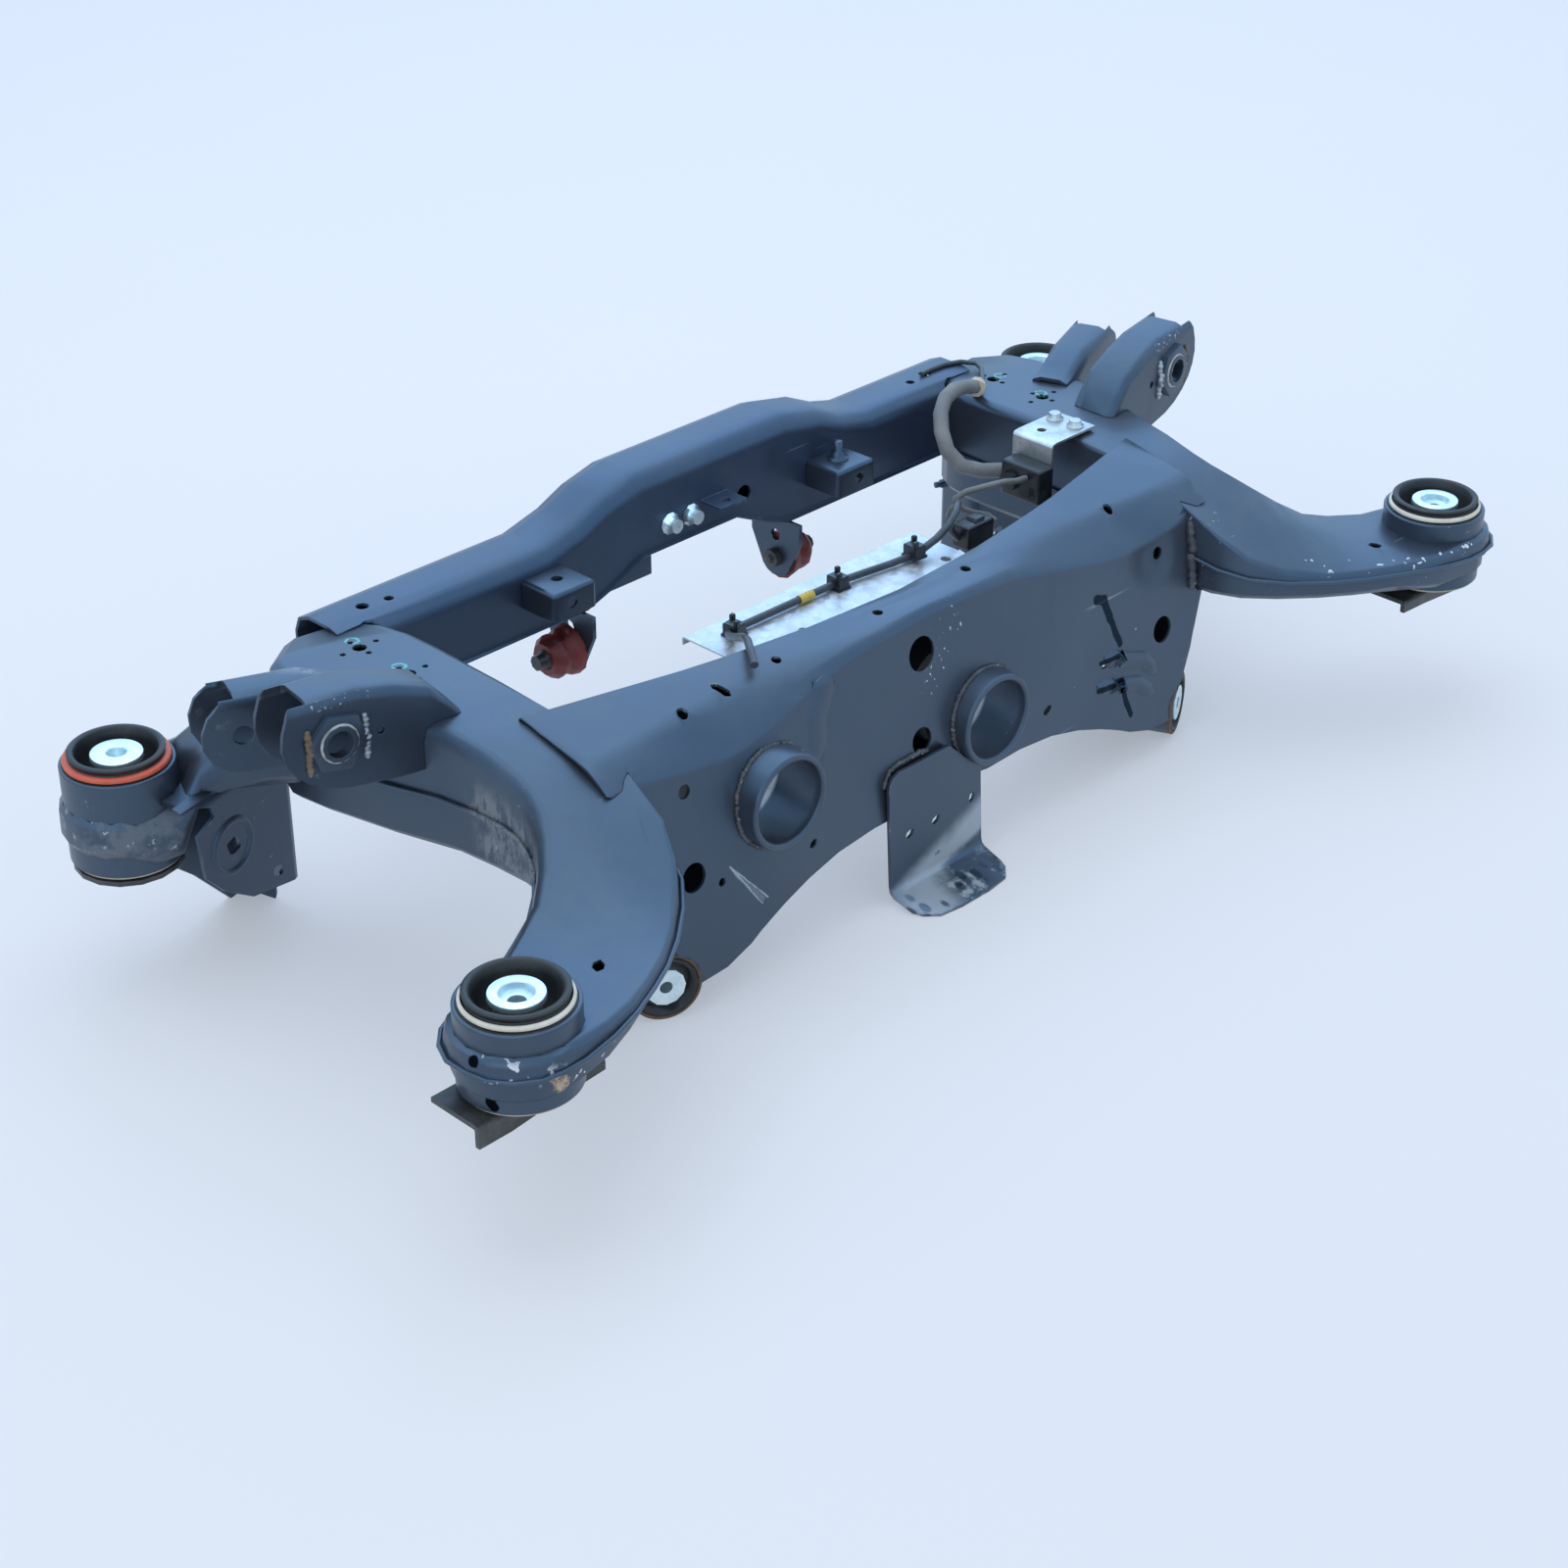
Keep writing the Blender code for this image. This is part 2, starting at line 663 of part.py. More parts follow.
def build_crossmember(rail_cutters):
    front = strip([box_front_row(x) for x in box_stations(BOX_HALF_WIDTH)])
    face_up(front, Vector((0, -0.09, 0.05)))
    cuts = []
    for x, z in tube_centres():
        cuts.append(rod((x, FACE_Y, z), (0, 1, 0), TUBE_R + GAP, 0.06, TUBE_SIDES))
    for x, z, r in FACE_HOLES:
        cuts.append(rod((x, FACE_Y - 0.004, z), (0, 1, 0), r, 0.03, 10))
    for x, z, r in FACE_PAIRS:
        for side in (1, -1):
            cuts.append(rod((side * x, FACE_Y - 0.004, z), (0, 1, 0), r, 0.03, 8))
    for x, z, length, width, tilt in FACE_SLOTS:
        along = (math.cos(math.radians(tilt)), 0, math.sin(math.radians(tilt)))
        cuts.append(slot_rod((x, FACE_Y - 0.006, z), (0, 1, 0), along, length, width, 0.03))
    for x, y, r in TOP_HOLES:
        cuts.append(rod((x, y, 0.045), (0, 0, 1), r, 0.03, 8))
    for side in (1, -1):
        cuts.append(rod((side * 0.246, -0.087, 0.04), (0, 0, 1), 0.0045, 0.03, 8))
    cuts.append(slot_rod((-0.2045, -0.085, 0.045), (0, 0, 1), (0.3, -0.9, 0), 0.018, 0.007, 0.03))
    cuts += [sleeve_cut(), mirrored(sleeve_cut())]
    emit("crossmember_front_pressing", front, frame_paint, False, SHEET, list(rail_cutters) + cuts)

    back = strip([box_back_row(x) for x in box_stations(0.336)])
    face_up(back, Vector((0, -0.09, -0.095)))
    bmesh.ops.reverse_faces(back, faces=back.faces)
    cuts = []
    for x, z in tube_centres():
        cuts.append(rod((x, box_back_y(abs(x)), z), (0, 1, 0), TUBE_R + GAP, 0.05, TUBE_SIDES))
    cuts += [sleeve_cut(), mirrored(sleeve_cut())]
    emit("crossmember_back_pressing", back, frame_paint, False, SHEET, list(rail_cutters) + cuts)


def build_tubes():
    for name, (x, z) in zip(("left", "right"), tube_centres()):
        front = face_y(x, z) - TUBE_PROUD
        back = box_back_y(abs(x)) + 0.010
        length = back - front
        inner = TUBE_R - TUBE_WALL
        step = inner - 0.005
        profile = [(TUBE_R, 0), (TUBE_R, length), (inner, length), (inner, length * 0.60),
                   (step, length * 0.60), (step, length * 0.50), (inner, length * 0.50), (inner, 0)]
        bm = turned(lathe(profile, TUBE_SIDES), frame_matrix((x, front, z), (0, 1, 0)))
        emit("differential_tube_" + name, bm, frame_paint)


def build_sleeves():
    place = frame_matrix(sleeve_front(), -sleeve_axis())
    inner = SLEEVE_R - SLEEVE_WALL

    def sleeve(name, mirror):
        profile = [(SLEEVE_R, 0), (SLEEVE_R, SLEEVE_LENGTH), (inner, SLEEVE_LENGTH), (inner, 0)]
        emit(name, turned(lathe(profile, SLEEVE_SIDES), place), bracket_paint, mirror)

    def bush(name, mirror):
        outer = inner - GAP
        core = 0.0085 + GAP
        ends = SLEEVE_LENGTH
        profile = [(outer, -0.001), (outer, ends - 0.002), (core, ends - 0.002), (core, 0.0042),
                   (0.0165, 0.0042), (outer - 0.004, 0.009), (outer - 0.003, -0.001)]
        emit(name, turned(lathe(profile, SLEEVE_SIDES), place), rubber, mirror)

    def insert(name, mirror):
        length = SLEEVE_LENGTH
        profile = [(0.0155, -0.001), (0.0155, 0.0038), (0.0085, 0.0038), (0.0085, length),
                   (0.0052, length), (0.0052, -0.001)]
        emit(name, turned(lathe(profile, 12), place), zinc, mirror)

    both("link_sleeve", sleeve)
    both("link_bush", bush)
    both("link_insert", insert)


# Body mounts
def build_mounts():
    places = []
    for x_side, x_name in ((-1, "left"), (1, "right")):
        places.append(("near_" + x_name, Vector((x_side * MOUNT_HALF_TRACK, -MOUNT_HALF_BASE, 0)), NEAR_MOUNT_BOTTOM))
        places.append(("far_" + x_name, Vector((x_side * MOUNT_HALF_TRACK, MOUNT_HALF_BASE, 0)), FAR_MOUNT_BOTTOM))
    for name, point, low in places:
        shift = Matrix.Translation(point)
        inner = COLLAR_R - COLLAR_WALL
        profile = [(COLLAR_R, low), (COLLAR_R, COLLAR_TOP), (inner, COLLAR_TOP), (inner, low)]
        emit("mount_collar_" + name, turned(lathe(profile, MOUNT_SIDES), shift), frame_paint)
        outer = inner - GAP
        lip = LIP_INNER_R
        core = INSERT_R - 0.0035 + GAP
        profile = [(outer, low), (outer, COLLAR_TOP + GAP), (RING_R, COLLAR_TOP + GAP), (RING_R, -0.0008),
                   (lip + 0.001, 0.0040), (lip - 0.002, -0.018), (core, -0.018),
                   (core, low - 0.0040), (outer - 0.004, low - 0.0035)]
        emit("mount_rubber_" + name, turned(lathe(profile, MOUNT_SIDES), shift), rubber)
        core = INSERT_R - 0.0035
        foot = low - 0.0040 - GAP
        profile = [(INSERT_R, 0), (INSERT_R, -0.0046), (core, -0.0048), (core, foot), (INSERT_BORE_R, foot),
                   (INSERT_BORE_R, -0.007), (INSERT_SINK_R, -0.0025), (INSERT_SINK_R, 0)]
        emit("mount_insert_" + name, turned(lathe(profile, MOUNT_SIDES), shift), zinc)


def build_stop_plates():
    for x_side, x_name in ((-1, "left"), (1, "right")):
        shift = Matrix.Translation((x_side * (MOUNT_HALF_TRACK - 0.003), -MOUNT_HALF_BASE, 0))
        top = NEAR_MOUNT_BOTTOM - 0.0040 - 2 * GAP
        deep = STOP_SHEET
        near, far = -0.018, 0.030
        section = [(far, top), (near + 0.004, top), (near + 0.0012, top - 0.0012), (near, top - 0.004),
                   (near, top - STOP_FLANGE)]
        rows = []
        for x in (-STOP_HALF_WIDTH, -0.02, 0.02, STOP_HALF_WIDTH):
            rows.append([Vector((x, y, z)) for y, z in section])
        shell, _ = grid(rows)
        face_up(shell, Vector((0, 0.01, top)))
        end = top - STOP_FLANGE
        w = STOP_HALF_WIDTH
        form = [(-w, end), (-w, top + 0.01), (w, top + 0.01), (w, end + 0.007), (w * 0.4, end + 0.005), (-w * 0.5, end)]
        if x_side > 0:
            form = [(-x, z) for x, z in form]
        bolt_way = rod((x_side * MOUNT_HALF_TRACK, -MOUNT_HALF_BASE, top), (0, 0, 1), STOP_BORE_R, 0.02, 8)
        emit("stop_plate_near_" + x_name, turned(shell, shift), black_steel, False, deep, [bolt_way],
             turned(side_outline(form, -0.06, 0.06), shift))
        shift = Matrix.Translation((x_side * MOUNT_HALF_TRACK, MOUNT_HALF_BASE, 0))
        top = FAR_MOUNT_BOTTOM - 0.0040 - 2 * GAP
        profile = [(STOP_BORE_R, top), (0.042, top), (0.042, top - STOP_SHEET), (STOP_BORE_R, top - STOP_SHEET)]
        emit("stop_plate_far_" + x_name, turned(lathe(profile, MOUNT_SIDES), shift), black_steel)


# Far arms: one hollow pressing each, a round tube at the rail that widens into the mount.
# A station holds the axis point's share of the way from the mount to the rail, the near
# and far half widths as shares of the mount housing's radius, then the heights of the top
# at both walls and of the bottom.
FAR_ARM_STATIONS = [
    (0.00, 1.00, 1.00, -0.027, -0.021, -0.072),
    (0.16, 0.94, 0.98, -0.034, -0.016, -0.078),
    (0.33, 0.74, 0.90, -0.034, -0.006, -0.076),
    (0.46, 0.48, 0.78, -0.004, 0.010, -0.036),
    (0.62, 0.54, 0.66, 0.020, 0.022, -0.030),
    (0.84, 0.59, 0.60, 0.027, 0.028, -0.028),
    (1.12, 0.59, 0.59, 0.028, 0.028, -0.028),
]
FAR_ARM_END = (0.425, 0.150)
FAR_SHELL_R = 0.0475


def far_arm_section(share, near_w, far_w, top_n, top_f, bottom):
    end = Vector((FAR_ARM_END[0], FAR_ARM_END[1], 0))
    way = (end - far_mount()).normalized()
    side = Vector((-way.y, way.x, 0))
    point = far_mount() + (end - far_mount()) * share
    width = (near_w + far_w) * FAR_SHELL_R
    start = point + side * near_w * FAR_SHELL_R
    drop = min(0.012, (top_n - bottom) * 0.25)
    rn = min(0.024, (top_n - bottom) * 0.42)
    rf = min(0.020, (top_f - bottom) * 0.42)
    points = [(0, bottom + drop), (0, (top_n - rn + bottom + drop) / 2)]
    points += arc(rn, top_n - rn, rn, 165, 90, 2)
    points += [(near_w * FAR_SHELL_R, top_n * 0.8 + top_f * 0.2)]
    points += arc(width - rf, top_f - rf, rf, 90, 0, 2)
    points += [(width, bottom + drop), (width - drop * 0.6, bottom), (near_w * FAR_SHELL_R, bottom),
               (drop * 0.6, bottom)]
    return [start - side * s + Vector((0, 0, z)) for s, z in points]


def grid(rows, wrap=False):
    bm = bmesh.new()
    verts = [[bm.verts.new(p) for p in row] for row in rows]
    for a, b in zip(verts, verts[1:]):
        span = len(a) if wrap else len(a) - 1
        for j in range(span):
            i = (j + 1) % len(a)
            triangles(bm, a[j], a[i], b[i], b[j])
    return bm, verts


def swept(a, b, centre, t):
    """A point on the half turn from a to b round the centre, on the side away from the rail."""
    start = math.atan2(a.y - centre.y, a.x - centre.x)
    ra = math.hypot(a.x - centre.x, a.y - centre.y)
    rb = math.hypot(b.x - centre.x, b.y - centre.y)
    angle = start + math.pi * t
    r = ra + (rb - ra) * t
    return Vector((centre.x + r * math.cos(angle), centre.y + r * math.sin(angle), a.z + (b.z - a.z) * t))


def far_arm_shell(closed=False):
    bm, verts = grid([far_arm_section(*row) for row in FAR_ARM_STATIONS], True)
    first = verts[0]
    centre = far_mount()
    near_chain = [first[k] for k in (0, 1, 2, 3, 4)]
    far_chain = [first[k] for k in (9, 9, 8, 7, 6)]
    hub = [first[5], first[11]]
    fans = [near_chain + hub + [first[12]]]
    for k in range(1, MOUNT_FAN):
        t = k / MOUNT_FAN
        ring = [bm.verts.new(swept(a.co, b.co, centre, t)) for a, b in zip(near_chain, far_chain)]
        fans.append(ring + hub + [bm.verts.new(swept(first[12].co, first[10].co, centre, t))])
    fans.append(far_chain + hub + [first[10]])
    for a, b in zip(fans, fans[1:]):
        for j in range(5):
            triangles(bm, a[j], a[j + 1], b[j + 1], b[j])
        triangles(bm, a[0], b[0], b[7], a[7])
        triangles(bm, a[7], b[7], b[6], a[6])
    if closed:
        bm.faces.new(verts[-1])
    face_up(bm, centre)
    return bm


def grown(bm, amount):
    bm.normal_update()
    for vert in bm.verts:
        vert.co += vert.normal * amount
    return bm


def build_far_arms(rail_cutters):
    def arm(name, mirror):
        centre = far_mount()
        hole = rod((centre.x, centre.y, 0), (0, 0, 1), COLLAR_CLEAR, 0.4, MOUNT_SIDES)
        emit(name, far_arm_shell(), frame_paint, mirror, SHEET, [rail_cutters[1 if mirror else 0], hole])

    both("far_arm", arm)


# Link brackets are folded from sheet. A local frame runs outboard (u), across (v) and up
# (w), with its origin at the bolt hole on the near wall's outer face.
def channel(us, top_of, span, floor, radius):
    rows = []
    for u in us:
        top = top_of(u)
        points = [(0, floor)]
        points += arc(radius, top - radius, radius, 180, 90, 2)
        points += arc(span - radius, top - radius, radius, 90, 0, 2)
        points += [(span, floor)]
        rows.append([Vector((u, v, w)) for v, w in points])
    bm, _ = grid(rows)
    face_up(bm, Vector((us[len(us) // 2], span / 2, top_of(0))))
    return bm


def side_outline(points, low, high):
    """A prism over an outline in (u, w), running across from v = low to high."""
    bm = bmesh.new()
    a = [bm.verts.new((u, low, w)) for u, w in points]
    b = [bm.verts.new((u, high, w)) for u, w in points]
    bm.faces.new(a)
    bm.faces.new(b)
    for k in range(len(points)):
        j = (k + 1) % len(points)
        bm.faces.new((a[k], a[j], b[j], b[k]))
    bmesh.ops.recalc_face_normals(bm, faces=bm.faces)
    return bm


def local_frame(point, splay):
    return Matrix.Translation(Vector(point)) @ Matrix.Rotation(splay, 4, "Z")


EAR_HOLE = (0.4736, 0.026, 0.065)
EAR_END = [(0.026, 0.060), (0.026, 0.047), (0.036, 0.032), (0.0415, 0.016), (0.0430, 0.004),
           (0.0400, -0.008), (0.034, -0.018), (0.024, -0.027), (0.010, -0.035), (-0.006, -0.040)]
EAR_BORE_R = 0.0108
EAR_FAR_BORE_R = 0.0075
NUT_PLATE_R = 0.0240
NUT_PLATE_T = 0.0045


def build_ear_brackets(rail_cutters):
    def top_of(u):
        return interp(u, [(-0.105, -0.012), (-0.092, 0.004), (-0.078, 0.018), (-0.05, 0.028),
                          (-0.02, 0.035), (0.03, 0.037)])

    def bracket(name, mirror):
        place = local_frame(EAR_HOLE, EAR_SPLAY)
        us = [-0.105, -0.092, -0.078, -0.05, -0.02, 0.030, 0.050]
        shell = turned(channel(us, top_of, EAR_SPAN, -0.075, 0.009), place)
        keep = turned(side_outline([(-0.110, 0.060), (-0.110, -0.048), (-0.050, -0.046)] + EAR_END[::-1],
                                   -0.02, EAR_SPAN + 0.02), place)
        corners = [math.radians(60 * k + 12) for k in range(6)]
        plate = [(NUT_PLATE_R * math.cos(a), NUT_PLATE_R * math.sin(a)) for a in corners]
        nut = side_outline(plate, -NUT_PLATE_T, LINK_SHEET * 0.5)
        ring = [(0, -NUT_PLATE_T - 0.002), (0.0142, -NUT_PLATE_T - 0.002), (0.0150, 0.001), (0, 0.001)]
        ring = turned(lathe(ring, 12), frame_matrix((0, 0, 0), (0, 1, 0)))
        inner = LINK_SHEET + GAP
        cuts = [rod((0, 0, 0), (0, 1, 0), EAR_BORE_R, 0.03, 12),
                rod((0, EAR_SPAN, 0), (0, 1, 0), EAR_FAR_BORE_R, 0.02, 12),
                rod((-0.0355, 0, -0.003), (0, 1, 0), 0.0034, 0.02, 8),
                block((0.020, inner, -0.02), (0.08, EAR_SPAN - inner, 0.09))]
        emit(name, shell, bracket_paint, mirror, LINK_SHEET,
             [rail_cutters[1 if mirror else 0]] + [turned(c, place) for c in cuts], keep,
             [turned(nut, place), turned(ring, place)])

    both("upper_link_bracket", bracket)


FRONT_HOLE = (0.478, 0.150, 0.042)
FRONT_SPAN = 0.038
FRONT_BORE_R = 0.0078
FRONT_END_R = 0.031


def build_front_link_brackets(rail_cutters, arm_cutters):
    def top_of(u):
        return interp(u, [(-0.09, 0.018), (-0.075, 0.022), (-0.05, 0.030), (0.02, 0.032)])

    def bracket(name, mirror):
        place = local_frame(FRONT_HOLE, math.radians(20)) @ Matrix.Translation((0, -FRONT_SPAN, 0))
        us = [-0.10, -0.09, -0.075, -0.05, 0.02, 0.04]
        shell = turned(channel(us, top_of, FRONT_SPAN, -0.06, 0.010), place)
        end = arc(0, 0, FRONT_END_R, 60, -90, 6)
        outline = [(-0.11, 0.06), (-0.11, -FRONT_END_R)] + end[::-1] + [(0.0155, 0.06)]
        keep = turned(side_outline(outline, -0.02, FRONT_SPAN + 0.02), place)
        inner = LINK_SHEET + GAP
        cuts = [rod((0, FRONT_SPAN / 2, 0), (0, 1, 0), FRONT_BORE_R, 0.08, 12),
                rod((-0.034, FRONT_SPAN, 0.008), (0, 1, 0), 0.0052, 0.02, 8),
                block((0.004, inner, -0.02), (0.08, FRONT_SPAN - inner, 0.09))]
        side = 1 if mirror else 0
        emit(name, shell, bracket_paint, mirror, LINK_SHEET,
             [rail_cutters[side], arm_cutters[side]] + [turned(c, place) for c in cuts], keep)

    both("front_link_bracket", bracket)


LOWER_HOLE = (0.473, 0.1695, -0.083)
LOWER_SPLAY = math.radians(-15)
LOWER_INNER_U = -0.0762
LOWER_TOP_W = 0.056


def build_lower_brackets(arm_cutters, rail_cutters):
    """A near wall, a wall towards the rail and a far wall, with a tab over the arm."""
    def bracket(name, mirror):
        place = local_frame(LOWER_HOLE, LOWER_SPLAY)
        u0, u1 = LOWER_INNER_U, 0.060
        top = LOWER_TOP_W

        def folded(edge):
            ends = [v.co for v in edge.verts]
            inner = all(abs(p.x - u0) < 1e-6 for p in ends) and abs(ends[0].z - ends[1].z) > 0.01
            over = all(abs(p.z - top) < 1e-6 for p in ends) and all(abs(p.y) < 1e-6 for p in ends)
            return inner or over

        shell = block((u0, 0, -0.115), (u1, LOWER_SPAN, top), 0.010, 2, folded)
        gone = [f for f in shell.faces if f.normal.z < -0.9 or f.normal.x > 0.9]
        bmesh.ops.delete(shell, geom=gone, context="FACES")
        near = [(u0 - 0.01, -0.0715), (u0, -0.0695), (-0.0163, -0.055), (0.014, -0.034), (0.0338, -0.012), (0.0387, 0.027),
                (0.0176, 0.034), (0.0205, 0.044), (0.0352, 0.0505), (0.0512, 0.0520), (0.0512, top + 0.01),
                (u0 - 0.01, top + 0.01)]
        floor = -FLOOR_DROP - LOWER_HOLE[2]
        split = LOWER_SPAN * 0.45
        far = [(u0 - 0.01, -0.0715), (u0 + 0.002, floor), (u0 + 0.020, floor), (-0.018, -0.055), (0.010, -0.030),
               (0.010, top - 0.020), (-0.010, top + 0.01), (u0 - 0.01, top + 0.01)]
        tab = [(-0.012, top - 0.02), (-0.012, top + 0.01), (0.047, top + 0.01), (0.047, top - 0.02)]
        wall = [(u0 - 0.011, -0.0705), (u0 + 0.012, -0.0705), (u0 + 0.012, top + 0.011), (u0 - 0.011, top + 0.011)]
        forms = [side_outline(near, -0.01, 0.0105), side_outline(far, split, LOWER_SPAN + 0.01),
                 side_outline(tab, 0.0100, 0.040), side_outline(wall, 0.0100, split + 0.001)]
        bore = slot_rod((0, 0, 0), (0, 1, 0), (0.87, 0, 0.5), 0.019, 0.014, 0.03)
        cuts = [bore, rod((-0.006, LOWER_SPAN, 0), (0, 1, 0), 0.0075, 0.03, 10),
                rod((-0.051, 0, -0.051), (0, 1, 0), 0.0026, 0.012, 10),
                rod((0.034, 0.028, top), (0, 0, 1), 0.0045, 0.02, 8)]
        stud = [(0, LINK_SHEET * 0.5), (0.0050, LINK_SHEET * 0.5), (0.0050, -0.009), (0.0062, -0.0095),
                (0.0062, -0.013), (0.0042, -0.0135), (0.0042, -0.024), (0.0030, -0.0245), (0.0030, -0.030), (0, -0.030)]
        stud = turned(lathe(stud, 8), frame_matrix((u0, 0.022, 0.004), (1, 0, 0)))
        obj = link(name, turned(shell, place), bracket_paint, mirror)
        sheet(obj, LINK_SHEET)
        boolean(obj, guide(name + "_form", turned(joined(forms), place), mirror), "INTERSECT").use_self = True
        boolean(obj, guide(name + "_stud", turned(stud, place), mirror), "UNION")
        boolean(obj, arm_cutters[1 if mirror else 0])
        boolean(obj, rail_cutters[1 if mirror else 0])
        centre = far_mount()
        clear = rod((centre.x, centre.y, -0.05), (0, 0, 1), COLLAR_R + 4 * GAP, 0.2, MOUNT_SIDES)
        boolean(obj, guide(name + "_clear", clear, mirror))
        boolean(obj, guide(name + "_cuts", turned(joined(cuts), place), mirror))

    both("lower_link_bracket", bracket)


# Far crossmember: an upper pressing with a hump, and a lower one nested in it.
def smooth(t):
    t = min(max(t, 0.0), 1.0)
    return t * t * (3 - 2 * t)


def beam_top(x):
    return BEAM_TOP + BEAM_HUMP * smooth((x + 0.155) / 0.10) * smooth((0.225 - x) / 0.10)


def beam_low(x):
    return BEAM_BOTTOM + 0.026 * smooth((BEAM_STEP_X - abs(x)) / 0.067)


BEAM_XS = [-0.335, -0.155, -BEAM_STEP_X, -0.09, -0.055, 0.055, 0.09, BEAM_STEP_X, 0.16, 0.19, 0.225, 0.335]
BEAM_EDGE_R = 0.018
FLANGE_BOLT_XS = (-0.022, 0.002)
FLANGE_BOLT_Z = 0.036
BOX_INNER_X = 0.140
BOX_WIDE = 0.046
BOX_TOP = 0.041
BOX_TALL = 0.024
BOX_FRONT_Y = 0.121
BOX_HOLE = (0.1625, 0.1435)
HANGER_X = BEAM_STEP_X + 0.0038
HANGER_Y = 0.1765
HANGER_HALF = 0.029
HANGER_BOLT_Z = -0.049
HANGER_SHEET = 0.0036
STOP_LENGTH = 0.028


def beam_rows(grow=0.0):
    rows = []
    xs = [-BEAM_HALF_WIDTH - grow] + BEAM_XS + [BEAM_HALF_WIDTH + grow]
    for x in xs:
        top, low = beam_top(x) + grow, beam_low(x) - grow
        r = BEAM_EDGE_R + grow
        front, back = BEAM_FRONT_Y - grow, BEAM_BACK_Y + grow
        points = [(front - SEAM_LIP, low), (front, low + 0.003)]
        points += arc(front + r, top - r, r, 180, 90, 3)
        points += arc(back - r, top - r, r, 90, 0, 2)
        points += [(back, low + 0.003), (back + SEAM_LIP, low)]
        rows.append([Vector((x, y, z)) for y, z in points])
    return rows


def beam_form():
    bm, verts = grid(beam_rows(GAP), True)
    bm.faces.new(verts[0])
    bm.faces.new(verts[-1])
    bmesh.ops.recalc_face_normals(bm, faces=bm.faces)
    return bm


def build_beam(rail_cutters):
    upper, _ = grid(beam_rows())
    face_up(upper, Vector((0, 0.19, 0.08)))
    cuts = []
    for side in (1, -1):
        cuts.append(rod((side * 0.322, 0.188, BEAM_TOP), (0, 0, 1), 0.0055, 0.03, 8))
        cuts.append(rod((side * 0.299, 0.184, BEAM_TOP), (0, 0, 1), 0.0042, 0.03, 8))
        cuts.append(rod((side * 0.334, BEAM_FRONT_Y - 0.001, BEAM_TOP), (0, 0, 1), 0.0115, 0.03, 12))
    for x in FLANGE_BOLT_XS:
        cuts.append(rod((x, BEAM_FRONT_Y, FLANGE_BOLT_Z), (0, 1, 0), BOLT_R + GAP, 0.02, 12))
    cuts.append(rod((0.064, BEAM_FRONT_Y, 0.034), (0, 1, 0), 0.0085, 0.02, 12))
    cuts.append(rod((0.029, 0.146, 0.043), (0, 0, 1), 0.0042, 0.02, 8))
    tab = block((0.014, 0.136, 0.0425), (0.044, BEAM_FRONT_Y + SHEET / 2, 0.0425 + SHEET))
    emit("far_beam_upper", upper, frame_paint, False, SHEET, list(rail_cutters) + cuts, None, [tab])

    rows = []
    inset = SHEET + 2 * GAP
    r = 0.006
    front, back = BEAM_FRONT_Y + inset, BEAM_BACK_Y - inset
    for x in BEAM_XS:
        low = beam_low(x)
        points = [(front, low + 0.014)] + arc(front + r, low + r, r, 180, 270, 1)
        points += arc(back - r, low + r, r, 270, 360, 1) + [(back, low + 0.014)]
        rows.append([Vector((x, y, z)) for y, z in points])
    lower, _ = grid(rows)
    face_up(lower, Vector((0, 0.19, -0.01)))
    bmesh.ops.reverse_faces(lower, faces=lower.faces)
    plate = block((-0.092, front + 0.008, beam_low(-0.092) - 0.010), (-0.034, back - 0.008, beam_low(-0.06) + 0.001))
    emit("far_beam_lower", lower, frame_paint, False, SHEET, list(rail_cutters), None, [plate])


